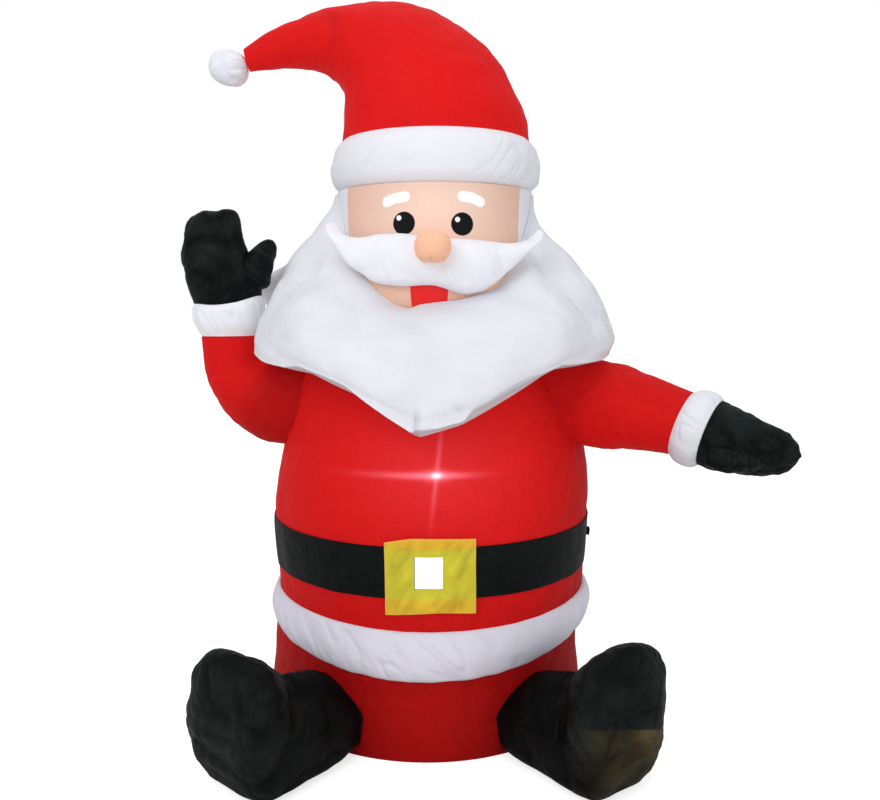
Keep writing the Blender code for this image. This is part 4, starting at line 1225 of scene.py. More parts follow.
def beard_outline(azimuth, count):
    """The beard's outer side by azimuth: shares, heights and radii from its top to its rim."""
    top = softened(BEARD_TOP, azimuth, 2.0)
    rim = softened(BEARD_RIM, azimuth, 1.2)
    sideways = eased(np.abs(azimuth), BEARD_FRONT_TO, BEARD_SIDE_FROM)
    share = (np.sin(np.linspace(-0.5, 0.5, count) * np.pi) * 0.5 + 0.5)[:, None]

    def between_sides(front_share, side_share):
        front, side = smooth(BEARD_FRONT, front_share), smooth(BEARD_SIDE, side_share)
        return front * (1 - sideways) + side * sideways

    # The panel keeps its fullness down to the gusset, which turns in to the rim
    start = gusset_share(azimuth)
    turn_in = np.clip((share - start) / (1 - start), 0.0, 1.0)
    panel = np.minimum(share, start)
    full = between_sides(np.minimum(panel, 0.90), np.minimum(panel, 0.92))
    gusset = full + (between_sides(1.0, 1.0) - full) * turn_in
    blend = eased(share, 0.86, 0.93)
    radius = between_sides(share, share) * (1 - blend) + gusset * blend

    # Full and hollow places
    puff = BEARD_RIGHT_PUFF * bell(azimuth, *BEARD_RIGHT_PUFF_AT) * eased(share, 0.0, 0.2)
    radius = radius + puff * (1 - eased(share, 0.2, 0.5))
    hollow = BEARD_RIGHT_HOLLOW * bell(azimuth, *BEARD_RIGHT_HOLLOW_AT)
    radius = radius - hollow * eased(share, 0.3, 0.7)
    radius = radius + BEARD_LOBE * beard_lobe(azimuth, share)
    across, down = BEARD_LEFT_HOLLOW_AT
    radius = radius - BEARD_LEFT_HOLLOW * bell(azimuth, *across) * bell(share, *down)
    return share, top + (rim - top) * share, radius


def make_beard():
    """Beard and hair: one collar, with a gusset turned under along its lower rim."""
    sides, count, inner = 520, 104, 8
    azimuth = round_the_column(sides)
    turn = np.radians(azimuth)
    share, z, radius = beard_outline(azimuth, count)
    outer = upright(azimuth, radius, z)
    seam = gusset_share(azimuth)
    above = np.clip(seam - share, 0.0, 1.0)
    panel = eased(seam - share, -0.004, 0.010)

    # Gathers over the gusset's seam, then along the top, with broad dents between
    near = np.exp(-above / 0.05)
    folds = 0.5 * gathered(turn, above * 5.0, 44, 61, 0.12) * near * panel
    fine = 0.4 * gathered(turn, above * 10.0, 90, 63, 0.16)
    folds = folds + fine * np.exp(-above / 0.025) * panel
    folds = folds + 0.5 * gathered(turn, share * 7.0, 60, 65, 0.14) * np.exp(-share / 0.08)
    broad = 0.0085 * (np.abs(uneven(outer / 0.115, 67)) * 2 - 0.5)
    broad = broad + 0.0013 * crumpled(outer, 0.065, 68, 2)
    front = 1 - eased(np.abs(azimuth), 95, 125)
    relief = sizes().gather * folds + broad * arch(share / seam, 0.7) * front

    # The crease up from the tip, a second one beside it, the fold between, and the side seams
    crease = bell(azimuth, BEARD_TIP_AZIMUTH, 0.55) * eased(share, *BEARD_CREASE_FROM)
    second = bell(azimuth - (share - 0.86) * 20.0, 6.6, 0.7) * bell(share, 0.86, 0.05)
    relief = relief - (BEARD_CREASE * crease + BEARD_SECOND_CREASE * second) * panel
    beside = bell(azimuth, BEARD_TIP_AZIMUTH + 2.4, 1.6) * eased(share, *BEARD_CREASE_FROM)
    relief = relief + BEARD_FOLD * beside * (1 - eased(share, 0.90, 0.955))
    relief = relief - 0.0014 * bell(np.abs(azimuth), 105, 1.0) * arch(share)
    outer = raised(outer, relief * eased(share, 0.0, 0.05))

    # The inner side clears the widest of the body and the head within a row's reach
    back_z = z[-1] + (z[0] - z[-1]) * spaced(inner)
    reach = np.maximum((z[0] - z[-1]) / inner, 0.02)
    levels = [back_z + step * reach for step in (-1.0, -0.5, 0.0, 0.5, 1.0)]
    back_radius = BEARD_SKIN_GAP + np.maximum.reduce([
        np.where(level < HEAD_Z, body_radius(level), head_radius(level)) for level in levels
    ])
    back_radius[-1] = head_radius(back_z[-1]) + SKIN_GAP
    points = np.vstack([outer, upright(azimuth, back_radius, back_z), outer[:1]])

    # Painted shade in the pinched creases, the two creases by the tip and on the gusset, which
    # faces down; a painted highlight just above the gusset's seam
    pinched = creases(round_seam(turn, above * 5.0, 44), 62, 0.12) * near
    shade = 0.97 - 0.03 * pinched - 0.20 * crease - 0.10 * second - 0.17 * (1 - panel)
    shade = shade + 0.04 * bell(above, 0.012, 0.012) * panel + 0.05 * uneven(outer / 0.050, 64)
    shade = np.vstack([shade, np.ones(back_z.shape), shade[:1]])
    # Painted light: the lobe behind the thumb, which lies in shade, is given a strong glow; the
    # lower front glows a little
    glow = 0.04 * eased(share, 0.35, 0.85) * bell(azimuth, -10, 30)
    glow = glow + BEARD_LOBE_PAINTED_LIGHT * beard_lobe(azimuth, share)
    glow = np.vstack([glow, np.zeros(back_z.shape), glow[:1]])
    finish = white_taffeta("taffeta_beard", creasing=0.0022)
    piece = sewn("beard_hair", points, (TAU * 0.28, 0.55), finish, shade=shade, glow=glow)
    placed(piece, "beard")


def face_radius(azimuth, z):
    """The outermost of the head and the beard at these columns of places."""
    azimuth, z = np.broadcast_arrays(azimuth, z)
    _, heights, radii = beard_outline(azimuth[0], 40)
    found = [
        np.interp(z[:, column], heights[::-1, column], radii[::-1, column], left=0.0, right=0.0)
        for column in range(z.shape[1])
    ]
    return np.maximum(np.transpose(found), head_radius(z))


def moustache_flare(azimuth):
    """How far the moustache stands off the face towards its ends."""
    half = np.where(azimuth > 0, MOUSTACHE_ENDS[1], -MOUSTACHE_ENDS[0])
    return MOUSTACHE_TIP_FLARE * eased(np.abs(azimuth) - 30.0, 0.0, half - 30.0)


def moustache_puff(azimuth):
    """How far the moustache stands out along its middle line."""
    half = np.where(azimuth > 0, MOUSTACHE_ENDS[1], -MOUSTACHE_ENDS[0])
    fullness = np.sqrt(np.maximum(1 - (np.abs(azimuth) / half) ** 3, 0.0))
    crease = 0.0060 * bell(azimuth, 0.0, 4.0)
    return MOUSTACHE_TIP_PUFF + (MOUSTACHE_PUFF - MOUSTACHE_TIP_PUFF) * fullness - crease


def make_moustache():
    """The puffed moustache, pulled in by its seams and gathered under the nose."""
    columns, sides = 240, 60
    azimuth = np.linspace(*MOUSTACHE_ENDS, columns)[:, None]
    turn = full_turn(sides)
    low, high = (smooth(edge, azimuth) for edge in (MOUSTACHE_LOWER, MOUSTACHE_UPPER))
    across = np.cos(turn) * np.ones((columns, 1))
    across[[0, -1]] = 0.0
    z = (low + high) / 2 + (high - low) / 2 * across
    seat = face_radius(azimuth.T, z.T).T + MOUSTACHE_GAP + moustache_flare(azimuth)
    puff = moustache_puff(azimuth) * np.maximum(np.sin(turn), 0.0) ** 0.85
    along = np.radians(azimuth) * 0.20
    edge = np.abs(across) ** 3
    places = joined(along / 0.018, across * 0.7, 0.0)
    folds = 0.9 * uneven(places, 71) - creases(places, 72, 0.13)
    folds = folds * (0.35 + 0.75 * edge) + 0.7 * uneven(places * (2.2, 1.5, 1.0), 73) * edge
    broad = 1.3 * (np.abs(uneven(joined(along, z, 0.0) / 0.045, 74)) * 2 - 0.4)
    middle = bell(azimuth, 0.0, 8.0) * uneven(places * (2.4, 0.4, 1.0), 75)
    middle = middle * eased(-across, -0.2, 0.6)
    rise = np.clip(puff / 0.006, 0.0, 1.0)
    puff = puff + rise * sizes().gather * (folds + broad + 1.2 * middle)
    points = upright(azimuth, seat + np.maximum(puff, 0.0), z)
    # Painted shade in the creases along the edges, and a painted glow that lifts the whole
    # moustache
    shade = 1 - 0.04 * edge * creases(places, 72, 0.13)
    piece = sewn("moustache_white", points, (0.20, 0.36), white_taffeta("taffeta_moustache"),
                 shade=shade, glow=0.10)
    placed(piece, "moustache")


def moustache_outside(azimuth, z):
    """The outermost of the moustache, the beard and the head at these places."""
    low, high = (smooth(edge, azimuth) for edge in (MOUSTACHE_LOWER, MOUSTACHE_UPPER))
    across = np.clip((2 * z - low - high) / (high - low), -1, 1)
    face = face_radius(azimuth[None, :], z[None, :])[0]
    puff = MOUSTACHE_GAP + moustache_puff(azimuth) * np.sqrt(1 - across**2)
    return np.where(np.abs(across) < 1, face + puff, face)


def make_nose():
    """The nose, a squarish ball pinched in by two stitches below."""
    rows, sides = 64, 84
    polar = np.linspace(0, np.pi, rows)[:, None]
    turn = full_turn(sides)
    ring = np.sin(polar) ** (0.85 - 0.25 * eased(polar, 1.4, 2.4))
    aside = NOSE_HALVES[0] * ring * squared(np.cos(turn), 0.85)
    ahead = NOSE_HALVES[1] * ring * np.sin(turn)
    z = NOSE_Z + NOSE_HALVES[2] * np.cos(polar) + 0 * turn
    stitches = [bell(aside, place, NOSE_STITCH_WIDTH) for place in NOSE_STITCHES]
    pinch = stitches[0] + 0.7 * stitches[1]
    low = bell(z, NOSE_Z - NOSE_STITCH_DROP, 0.0035) * (ahead > 0)
    ahead = ahead - NOSE_STITCH_DEPTH * pinch * low
    ahead = ahead + 0.0012 * uneven(joined(aside, z, 0.0) / 0.014, 77) * ring
    azimuth = NOSE_AZIMUTH + np.degrees(aside / NOSE_DISTANCE)
    support = np.array([moustache_outside(azimuth[row], z[row]) for row in range(rows)])
    radius = np.maximum(NOSE_DISTANCE + ahead, support + NOSE_GAP)
    points = upright(azimuth, radius, z)
    # Painted shade under the nose and in the two stitch dimples
    shade = 1 - 0.06 * bell(z, NOSE_Z - 0.022, 0.010) - 0.22 * np.minimum(pinch, 1) * low
    made = taffeta("taffeta_nose", colours().nose, 0.65, 0.10, 0.0005, 0.02, (1.0, 0.62, 0.42))
    piece = sewn("nose_ball", points, (0.17, 0.08), made, shade=shade, glow=0.10)
    placed(piece, "nose")


class Plane:
    """An upright plane: a distance along a heading, a height, and an offset off the plane.

    Above and below lean_z its points are carried along the vector lean for each metre.
    """

    def __init__(self, azimuth, origin=(0.0, 0.0), base_z=0.0, lean_z=0.0, lean=(0.0, 0.0)):
        turn = math.radians(azimuth)
        self.outward = np.array((math.sin(turn), -math.cos(turn), 0.0))
        self.aside = np.array((math.cos(turn), math.sin(turn), 0.0))
        self.origin = np.array((*origin, base_z))
        self.lean_z = lean_z
        self.lean = np.array((*lean, 0.0))

    def points(self, distance, height, offset):
        """The points of the plane at these distances, heights and offsets."""
        distance, height, offset = (
            v[..., None] for v in np.broadcast_arrays(distance, height, offset)
        )
        return (
            self.origin + self.outward * distance + self.aside * offset
            + self.lean * (height - self.lean_z) + np.array((0.0, 0.0, 1.0)) * height
        )


def seated(points, outward):
    """The points slid along outward until they clear the body by the skin gap."""
    for _ in range(SEAT_STEPS):
        aside = points[..., 0] - straight(COLUMN_LEAN, points[..., 2])
        radius = np.hypot(aside, points[..., 1])
        slope = (aside * outward[0] + points[..., 1] * outward[1]) / radius
        short = (body_radius(points[..., 2]) + SKIN_GAP - radius) / slope
        points = points + short[..., None] * outward
    return points


def bag(plane, sections, rows, sides, on_body=False, corners=(1.0, 1.0), shoulder=0.0):
    """The grid of a closed bag through sections, and the turn and share of each point.

    With on_body its first ring and the cap inside it are seated on the body. Corners below 1
    square its far side, on either hand, and a shoulder slopes its near side next to the body.
    """
    rings = smooth_rows([(*near, *far, half) for near, far, half in sections], rows)
    shares = np.linspace(0, 1, rows)
    caps = np.linspace(0.0, 0.9, CAP_RINGS) if on_body else np.zeros(1)
    scale = np.concatenate([caps, np.ones(rows)])
    rings = np.vstack([np.repeat(rings[:1], len(caps), axis=0), rings])
    shares = np.concatenate([np.zeros(len(caps)), shares])
    if rings[-1][4] > 0:
        rings = np.vstack([rings, rings[-1:]])
        scale, shares = np.append(scale, 0.0), np.append(shares, 1.0)
    turn = full_turn(sides)
    across, aside = np.cos(turn), np.sin(turn)
    sloped = 1.0 + shoulder * (1.0 - eased(shares, 0.25, 0.60))[:, None]
    power = np.where(across > 0, np.where(aside < 0, *corners), sloped)
    across, aside = squared(across, power), squared(aside, power)
    near, far, half = rings[:, None, 0:2], rings[:, None, 2:4], rings[:, None, 4]
    at = (near + far) / 2 + (far - near) / 2 * (across * scale[:, None])[..., None]
    points = plane.points(at[..., 0], at[..., 1], half * aside * scale[:, None])
    if on_body:
        root = len(caps) + 1
        points[:root] = seated(points[:root], plane.outward)
    return points, turn, shares[:, None]


def from_turn(turn, middle):
    """How far each point round a bag is from a middle, in radians without sign."""
    return np.abs(np.angle(np.exp(1j * (turn - middle))))


def make_hat():
    """The hat, with the crease where its tip curls over and gathers along its seams."""
    points, turn, share = bag(Plane(-90.0, (HAT_LEAN, 0.0), HAT_Z), HAT_SECTIONS, 150, 240)
    outer = from_turn(turn, 0.0)
    near_seam = bell(outer, 0.0, 0.30)
    along = joined(share * 20.0, turn * 1.2, 0.0)
    relief = -0.5 * bell(outer, 0.0, 0.04) + 0.8 * uneven(along, 81) * near_seam
    relief = relief + gathered(turn, share * 9.0, 46, 82, 0.13) * np.exp(-share / 0.06)
    tip = 0.8 * gathered(turn, share * 9.0, 18, 84, 0.14)
    relief = relief + tip * np.exp(-(1 - share) / 0.07)

    # The crease across the front where the tip curls over, and the roll above it
    front = eased(np.sin(turn), -0.4, 0.4)
    bend = 0.655 + 0.105 * np.cos(turn)
    fade = 0.30 + 0.70 * eased(np.cos(turn), -0.8, 0.4)
    fade = fade * (1 - eased(np.cos(turn), 0.60, 0.95))
    relief = relief - 1.3 * bell(share, bend, 0.010) * front * fade
    relief = relief + 0.8 * bell(share, bend - 0.040, 0.024) * front * fade
    curl = bell(from_turn(turn, math.pi), 0.0, 0.6) * bell(share, 0.5, 0.2)
    relief = sizes().gather * (relief + 0.7 * uneven(along * (1.3, 1.0, 1.0), 86) * curl)
    soft = 0.0050 * uneven(points / 0.110, 87) + 0.0014 * crumpled(points, 0.060, 88, 2)
    relief = relief + (soft - 0.0012) * arch(share)
    relief[:2] = relief[-2:] = 0.0
    points = raised(points, relief)
    # Painted shade in the crease and along the side with the seam, and painted light: a stronger
    # glow on the front near the brim
    shade = 1 - 0.22 * bell(share, bend + 0.006, 0.012) * front * fade
    shade = shade - 0.10 * bell(outer, 0.0, 0.30) * (1 - eased(share, 0.1, 0.6))
    shade = shade - 0.12 * bell(outer, 0.0, 0.90) * bell(share, 0.38, 0.30)
    glow = 0.36 + 0.10 * bell(from_turn(turn, math.pi / 2), 0.0, 1.0) * bell(share, 0.25, 0.25)
    piece = sewn("hat_red", points, (0.80, 0.50), red_taffeta(), glow=glow, shade=shade)
    placed(piece, "hat")


def make_pompom():
    """The bobble, gathered where the hat's tip meets it."""
    plane = Plane(-90.0, (HAT_LEAN, 0.0), HAT_Z)
    rows, sides = 70, 84
    polar = np.linspace(0, np.pi, rows)[:, None]
    turn = full_turn(sides)
    lean = math.radians(POMPOM_TURN)
    near, far = (np.array(point) for point in HAT_SECTIONS[-1][:2])
    along = np.array((far[1] - near[1], near[0] - far[0]))
    along /= np.linalg.norm(along)
    centre = np.array(POMPOM_CENTRE)
    along = along * math.copysign(1.0, along @ (centre - near))
    ring, rise, ahead, aside = (
        squared(wave, POMPOM_SQUARE)
        for wave in (np.sin(polar), np.cos(polar), np.cos(turn), np.sin(turn))
    )
    shapes = (ring * ahead, rise + 0 * turn, ring * aside)
    reach, height, width = (half * shape for half, shape in zip(POMPOM_HALVES, shapes))
    at = centre + np.stack([
        reach * math.cos(lean) - height * math.sin(lean),
        reach * math.sin(lean) + height * math.cos(lean),
    ], axis=-1)
    aside = at - centre
    depth = aside @ along
    round_tip = np.arctan2(width, aside @ np.array((-along[1], along[0])))
    points = plane.points(at[..., 0], at[..., 1], width)
    folds = 1.1 * gathered(round_tip, depth / 0.03, 14, 91, 0.16) * eased(-depth, -0.025, 0.020)
    folds = folds + 1.4 * crumpled(points, 0.038, 93, 1)
    points = raised(points, sizes().gather * folds * np.sin(polar))
    flat = points.reshape(-1, 3)
    tip = plane.points(*near, 0.0)
    push = plane.outward * along[0] + np.array((0.0, 0.0, 1.0)) * along[1]
    short = np.minimum((flat - tip) @ push - 0.0006, 0.0)
    points = (flat - short[:, None] * push).reshape(points.shape)
    # Painted shade in the creases
    piece = sewn("pompom_white", points, (0.18, 0.09), white_taffeta("taffeta_pompom"),
                 shade=1.0 - 0.05 * creases(points / 0.024, 95, 0.14), glow=0.03)
    placed(piece, "pompom")


def sleeve_relief(points, turn, share, seed):
    """Gathers at both ends of a sleeve, with soft unevenness between."""
    folds = 1.1 * gathered(turn, share * 7.0, 26, seed, 0.13) * np.exp(-share / 0.12)
    cuff_end = 0.9 * gathered(turn, share * 7.0, 30, seed + 2, 0.13)
    folds = folds + cuff_end * np.exp(-(1 - share) / 0.09)
    soft = 0.0030 * uneven(points / 0.060, seed + 4) + 0.0014 * crumpled(points, 0.045, seed + 5, 2)
    return sizes().gather * folds + soft * arch(share)


def make_raised_sleeve():
    """The raised sleeve, creased inside its bend."""
    plane = Plane(RIGHT_ARM_AZIMUTH)
    points, turn, share = bag(plane, RIGHT_SLEEVE_SECTIONS, 110, 150, on_body=True)
    relief = sleeve_relief(points, turn, share, 101)
    bend = bell(from_turn(turn, 0.0), 0.0, 0.9) * bell(share, 0.62, 0.18)
    along = joined(share * 12.0, turn * 0.8, 0.0)
    relief = relief - sizes().gather * 1.3 * creases(along, 107, 0.14) * bend
    relief[: CAP_RINGS + 1] = relief[-2:] = 0.0
    points = raised(points, relief)
    # Painted shade: darker and less aglow towards the root by the body
    dark = 0.78 + 0.22 * eased(share, 0.25, 0.50) + 0 * turn
    piece = sewn("sleeve_raised", points, (0.42, 0.40), red_taffeta(),
                 glow=0.16 + 0.15 * eased(share, 0.2, 0.7), shade=dark)
    placed(piece, "right_sleeve")


def left_plane(offset=0.0):
    """The plane of the arm held out, or one this far in front of it."""
    root = Plane(LEFT_ROOT_AZIMUTH).points(LEFT_ROOT_RADIUS, 0.0, 0.0)
    aside = Plane(LEFT_ARM_AZIMUTH).aside
    return Plane(LEFT_ARM_AZIMUTH, (root - aside * offset)[:2])


def right_plane():
    """The plane of the raised hand, which sways forward above the elbow."""
    return Plane(RIGHT_ARM_AZIMUTH, lean_z=RIGHT_SWAY_Z, lean=(0.0, -RIGHT_SWAY))


def make_held_sleeve():
    """The sleeve held out to the side, puckered where it meets the coat."""
    points, turn, share = bag(left_plane(), LEFT_SLEEVE_SECTIONS, 100, 150, on_body=True)
    relief = sleeve_relief(points, turn, share, 111)
    root = np.exp(-share / 0.22) * bell(from_turn(turn, -1.0), 0.0, 1.3)
    places = round_seam(turn, share * 4.0, 16)
    relief = relief - sizes().gather * 1.6 * creases(places, 117, 0.14) * root
    relief[: CAP_RINGS + 1] = relief[-2:] = 0.0
    points = raised(points, relief)
    # Painted shade towards the root, in the root's creases and along its upper side
    dark = 0.82 + 0.18 * eased(share, 0.05, 0.35) - 0.25 * creases(places, 117, 0.14) * root
    dark = dark - 0.10 * eased(np.cos(turn), 0.0, 0.9)
    piece = sewn("sleeve_out", points, (0.42, 0.24), red_taffeta(), glow=0.28, shade=dark)
    placed(piece, "left_sleeve")


def curved_seam(points):
    """The raised hand's points, with the seam of mitten and cuff curved up to its thumb."""
    distance = -points[..., 0]
    rise = RIGHT_SEAM_RISE * eased(-distance, *RIGHT_SEAM_RISE_TO)
    curve = rise - RIGHT_SEAM_DIP * bell(distance, *RIGHT_SEAM_DIP_AT)
    moved = points.copy()
    moved[..., 2] += curve * bell(points[..., 2], RIGHT_SEAM_Z, RIGHT_SEAM_REACH)
    return moved


def make_cuffs():
    """The two white cuffs, puffed and gathered at both seams."""
    # Each cuff's glow is painted light: the raised cuff has some, the held-out cuff none
    for name, plane, sections, node, seed, glow in (
        ("cuff_raised", right_plane(), RIGHT_CUFF_SECTIONS, "right_cuff", 121, 0.10),
        ("cuff_out", left_plane(), LEFT_CUFF_SECTIONS, "left_cuff", 131, 0.0),
    ):
        points, turn, share = bag(plane, sections, 44, 190)
        edge = np.exp(-share / 0.25) + np.exp(-(1 - share) / 0.25)
        slant = turn + 0.3 * share
        folds = 1.2 * gathered(slant, share * 1.2, 20, seed, 0.14) * (0.6 + 0.4 * edge)
        folds = folds + 0.6 * gathered(slant, share * 2.0, 50, seed + 2, 0.16) * edge
        folds = folds + 0.9 * uneven(round_seam(turn, share, 8), seed + 4)
        relief = sizes().gather * folds * arch(share, 0.5)
        relief[:2] = relief[-2:] = 0.0
        points = raised(points, relief)
        if node == "right_cuff":
            points = curved_seam(points)
        # Painted shade in the creases
        shade = 1 - 0.05 * creases(round_seam(slant, share * 1.2, 20), seed + 1, 0.13)
        piece = sewn(name, points, (0.35, 0.075), white_taffeta(), shade=shade, glow=glow)
        placed(piece, node)


def grown_together(name, whole, part):
    """Two bags grown into one closed bag."""
    union = whole.modifiers.new("thumb", "BOOLEAN")
    union.operation = "UNION"
    union.solver = "EXACT"
    union.object = part
    graph = bpy.context.evaluated_depsgraph_get()
    mesh = bpy.data.meshes.new_from_object(whole.evaluated_get(graph))
    whole.modifiers.clear()
    whole.data = mesh
    bpy.data.objects.remove(part)
    whole.name = name
    smoothed(mesh)
    return whole


def lit_folds(points, grain, seed):
    """Slack black cloth: its relief, and a shade with a painted highlight on the ridges."""
    relief = crumpled(points, grain, seed, 3)
    return relief, 1 + 0.9 * np.clip(relief, -0.6, 1.2)


def make_mittens():
    """The two black mittens, each a hand and a thumb grown together, crumpled."""
    finish = black_taffeta()
    size = sizes()
    for name, hand, thumb, node, seed, amount in (
        ("mitten_raised", (right_plane(), RIGHT_HAND_SECTIONS),
         (right_plane(), RIGHT_THUMB_SECTIONS), "right_mitten", 141, 0.7),
        ("mitten_out", (left_plane(), LEFT_HAND_SECTIONS),
         (left_plane(LEFT_THUMB_OFFSET), LEFT_THUMB_SECTIONS), "left_mitten", 151, 1.0),
    ):
        made = []
        for part, (plane, sections) in enumerate((hand, thumb)):
            rows, sides = ((110, 150), (60, 80))[part]
            points, turn, share = bag(plane, sections, rows, sides)
            # The shade is a painted highlight on the ridges
            folds, shade = lit_folds(points, 0.050, seed)
            relief = size.crumple * amount * folds + 0.0030 * uneven(points / 0.045, seed + 4)
            if part == 0:
                folds = size.gather * gathered(turn, share * 6.0, 26, seed + 5)
                relief = relief + folds * np.exp(-share / 0.10)
            relief = relief * arch(share, 0.3)
            relief[:2] = relief[-1:] = 0.0
            points = raised(points, relief)
            if node == "right_mitten":
                tip = eased(points[..., 2], *RIGHT_TIP_Z) * bell(points[..., 0], *RIGHT_TIP_X)
                points[..., 2] -= RIGHT_TIP_DIP * tip
                points = curved_seam(points)
            width = ((0.32, 0.16), (0.2, 0.11))[part]
            made.append(sewn(f"{name}_{part}", points, width, finish, shade=shade))
        placed(grown_together(name, *made), node)


def make_boots():
    """The two black legs and boots, one bag each, crumpled, with a seam across the toe."""
    size = sizes()
    for name, side, node, seed, finish in (
        ("boot_right", -1, "right_boot", 161, black_taffeta()),
        ("boot_left", 1, "left_boot", 171, black_taffeta("taffeta_black_brown_patch", brown_patch_print)),
    ):
        azimuth = side * BOOT_AZIMUTH
        lean = Plane(azimuth).aside * BOOT_TOE_IN * -side
        plane = Plane(azimuth, (BOOT_MIDDLE, 0.0), BOOT_FLOOR_GAP, BOOT_TOE_IN_Z, lean[:2])
        points, turn, share = bag(
            plane, BOOT_SECTIONS, 180, 180, True, BOOT_CORNERS[side], BOOT_SHOULDER,
        )
        curl = np.array((0.0, 0.0, BOOT_CURL_UP[side])) - plane.aside * side * BOOT_CURL_IN[side]
        points = points + np.maximum(points[..., 2:] - BOOT_CURL_Z, 0.0) * curl
        # The shade: a painted highlight on the ridges, then painted shade towards the root by the
        # body and towards the floor
        folds, shade = lit_folds(points, 0.075, seed)
        shade = shade * (0.40 + 0.60 * eased(share, 0.20, 0.62))
        shade = shade * (0.55 + 0.45 * eased(points[..., 2], 0.01, 0.12))
        relief = size.crumple * folds + 0.0060 * uneven(points / 0.080, seed + 4)
        gathers = size.gather * gathered(turn, share * 9.0, 34, seed + 5)
        relief = relief + gathers * np.exp(-share / 0.06)

        # Creases over the ankle, then the seam across the toe with the cloth raised beside it
        ankle = eased(-np.cos(turn), -0.2, 0.5) * bell(share, 0.32, 0.12)
        places = joined(share * 16.0, turn * 0.9, 0.0)
        relief = relief - size.crumple * 1.3 * creases(places, seed + 7, 0.14) * ankle
        toe = 0.66 + 0.05 * np.cos(turn) + 0.010 * uneven(round_seam(turn, 0.0, 8), seed + 8)
        deep = 0.35 + 0.65 * eased(uneven(round_seam(turn, 3.0, 5), seed + 9), -0.1, 0.3)
        seam = 0.0018 * bell(share, toe, 0.006) - 0.0012 * bell(share, toe + 0.016, 0.010)
        relief = relief - deep * seam
        relief = relief - 0.0022 * arch(share, 0.5)
        relief = relief * eased(points[..., 2], 0.0, 0.020) * arch(share, 0.3)
        relief[: CAP_RINGS + 1] = relief[-1:] = 0.0
        points = raised(points, relief)
        piece = sewn(name, points, (0.48, 0.46), finish, shade=shade)
        placed(piece, node)


def make_stage():
    """A pale floor, soft lights, a white surround and the photograph's camera."""
    scene = bpy.context.scene
    bm = bmesh.new()
    bmesh.ops.create_grid(bm, x_segments=1, y_segments=1, size=30.0)
    mesh = bpy.data.meshes.new("floor")
    bm.to_mesh(mesh)
    bm.free()
    floor = bpy.data.objects.new("floor", mesh)
    scene.collection.objects.link(floor)
    made, tree, shader = started("paper_floor")
    shader["Base Color"].default_value = (*linear("#e6e6e6"), 1.0)
    shader["Roughness"].default_value = 0.9
    shader["Specular IOR Level"].default_value = 0.0
    shader["Emission Color"].default_value = (1.0, 1.0, 1.0, 1.0)
    seen = add(tree, "LightPath", out="Is Camera Ray")
    lift = add(tree, "Math", (seen, FLOOR_LIFT), operation="MULTIPLY")
    tree.links.new(lift, shader["Emission Strength"])
    mesh.materials.append(made)

    world = bpy.data.worlds.new("white_surround")
    scene.world = world
    world.use_nodes = True
    tree = world.node_tree
    seen = add(tree, "LightPath", out="Is Camera Ray")
    lift = WORLD_SEEN - WORLD_LIGHT
    strength = add(tree, "Math", (seen, lift, WORLD_LIGHT), operation="MULTIPLY_ADD")
    background = tree.nodes["Background"].inputs
    background["Color"].default_value = (0.985, 0.990, 1.0, 1.0)
    tree.links.new(strength, background["Strength"])

    for name, at, size, power in LIGHTS:
        lamp = bpy.data.lights.new(name, "AREA")
        lamp.size = size
        lamp.energy = power
        held = bpy.data.objects.new(name, lamp)
        held.location = at
        aim = Vector(LIGHTS_AT) - Vector(at)
        held.rotation_euler = aim.to_track_quat("-Z", "Y").to_euler()
        scene.collection.objects.link(held)

    lens = bpy.data.cameras.new("camera")
    lens.sensor_width = 36.0
    lens.lens = FOCAL_PX / IMAGE_WIDTH * lens.sensor_width
    camera = bpy.data.objects.new("camera", lens)
    camera.location = CAMERA_AT
    camera.rotation_euler = (math.radians(90 - CAMERA_DOWN), 0.0, -math.radians(CAMERA_YAW))
    scene.collection.objects.link(camera)
    scene.camera = camera
    scene.view_settings.view_transform = "Standard"
    scene.view_settings.look = "None"


class SantaStep:
    """What the operators share."""

    bl_options = {"REGISTER", "UNDO"}


class SANTA_OT_body(SantaStep, bpy.types.Operator):
    """Make the red column of coat and trousers."""

    bl_idname = "santa.body"
    bl_label = "Body"

    def execute(self, context):
        make_body()
        return {"FINISHED"}


class SANTA_OT_coat_hem(SantaStep, bpy.types.Operator):
    """Make the white hem of the coat."""

    bl_idname = "santa.coat_hem"
    bl_label = "Coat Hem"

    def execute(self, context):
        make_hem()
        return {"FINISHED"}


class SANTA_OT_belt(SantaStep, bpy.types.Operator):
    """Make the belt and its tab."""

    bl_idname = "santa.belt"
    bl_label = "Belt"

    def execute(self, context):
        make_belt()
        make_tab()
        return {"FINISHED"}


class SANTA_OT_buckle(SantaStep, bpy.types.Operator):
    """Make the buckle and its patch."""

    bl_idname = "santa.buckle"
    bl_label = "Buckle"

    def execute(self, context):
        make_buckle()
        make_buckle_patch()
        return {"FINISHED"}


class SANTA_OT_head(SantaStep, bpy.types.Operator):
    """Make the head with its printed face."""

    bl_idname = "santa.head"
    bl_label = "Head"

    def execute(self, context):
        make_head()
        return {"FINISHED"}


class SANTA_OT_beard(SantaStep, bpy.types.Operator):
    """Make the beard and hair."""

    bl_idname = "santa.beard"
    bl_label = "Beard"

    def execute(self, context):
        make_beard()
        return {"FINISHED"}


class SANTA_OT_moustache(SantaStep, bpy.types.Operator):
    """Make the moustache."""

    bl_idname = "santa.moustache"
    bl_label = "Moustache"

    def execute(self, context):
        make_moustache()
        return {"FINISHED"}


class SANTA_OT_nose(SantaStep, bpy.types.Operator):
    """Make the nose."""

    bl_idname = "santa.nose"
    bl_label = "Nose"

    def execute(self, context):
        make_nose()
        return {"FINISHED"}


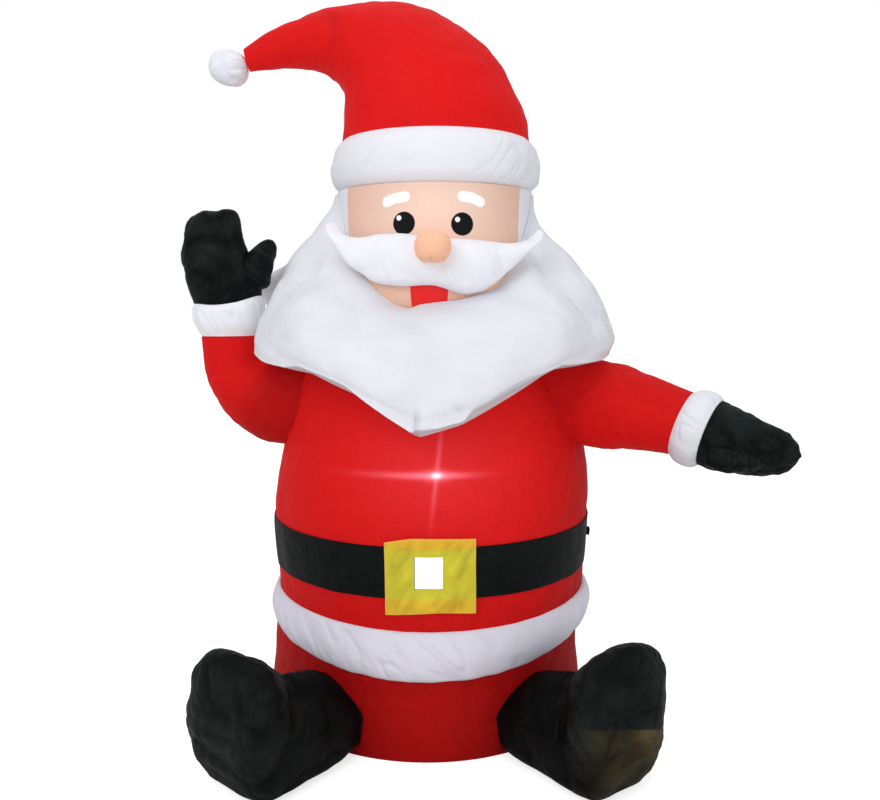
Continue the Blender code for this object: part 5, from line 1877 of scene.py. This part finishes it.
class SANTA_OT_hat(SantaStep, bpy.types.Operator):
    """Make the hat, its trim and its bobble."""

    bl_idname = "santa.hat"
    bl_label = "Hat"

    def execute(self, context):
        make_trim()
        make_hat()
        make_pompom()
        return {"FINISHED"}


class SANTA_OT_sleeves(SantaStep, bpy.types.Operator):
    """Make the two sleeves."""

    bl_idname = "santa.sleeves"
    bl_label = "Sleeves"

    def execute(self, context):
        make_raised_sleeve()
        make_held_sleeve()
        return {"FINISHED"}


class SANTA_OT_cuffs(SantaStep, bpy.types.Operator):
    """Make the two cuffs."""

    bl_idname = "santa.cuffs"
    bl_label = "Cuffs"

    def execute(self, context):
        make_cuffs()
        return {"FINISHED"}


class SANTA_OT_mittens(SantaStep, bpy.types.Operator):
    """Make the two mittens."""

    bl_idname = "santa.mittens"
    bl_label = "Mittens"

    def execute(self, context):
        make_mittens()
        return {"FINISHED"}


class SANTA_OT_boots(SantaStep, bpy.types.Operator):
    """Make the two boots."""

    bl_idname = "santa.boots"
    bl_label = "Boots"

    def execute(self, context):
        make_boots()
        return {"FINISHED"}


class SANTA_OT_stage(SantaStep, bpy.types.Operator):
    """Make the floor, lights and camera."""

    bl_idname = "santa.stage"
    bl_label = "Stage"

    def execute(self, context):
        make_stage()
        return {"FINISHED"}


class SANTA_PT_pieces(bpy.types.Panel):
    """Lists the pieces, their sizes and their colours in the sidebar."""

    bl_label = "Inflatable Santa"
    bl_space_type = "VIEW_3D"
    bl_region_type = "UI"
    bl_category = "Santa"

    def draw(self, context):
        for made in OPERATORS:
            self.layout.operator(made.bl_idname)
        for group in (context.scene.santa_sizes, context.scene.santa_colours):
            for key in group.bl_rna.properties.keys():
                if key not in ("rna_type", "name"):
                    self.layout.prop(group, key)


OPERATORS = (
    SANTA_OT_body, SANTA_OT_coat_hem, SANTA_OT_belt, SANTA_OT_buckle, SANTA_OT_head, SANTA_OT_beard,
    SANTA_OT_moustache, SANTA_OT_nose, SANTA_OT_hat, SANTA_OT_sleeves, SANTA_OT_cuffs,
    SANTA_OT_mittens, SANTA_OT_boots, SANTA_OT_stage,
)
CLASSES = (SantaSizes, SantaColours, *OPERATORS, SANTA_PT_pieces)


def register():
    for made in CLASSES:
        bpy.utils.register_class(made)
    bpy.types.Scene.santa_sizes = bpy.props.PointerProperty(type=SantaSizes)
    bpy.types.Scene.santa_colours = bpy.props.PointerProperty(type=SantaColours)


def unregister():
    del bpy.types.Scene.santa_sizes
    del bpy.types.Scene.santa_colours
    for made in reversed(CLASSES):
        bpy.utils.unregister_class(made)


def main():
    register()
    for made in OPERATORS:
        getattr(bpy.ops.santa, made.bl_idname.split(".")[1])()


if __name__ == "__main__":
    main()
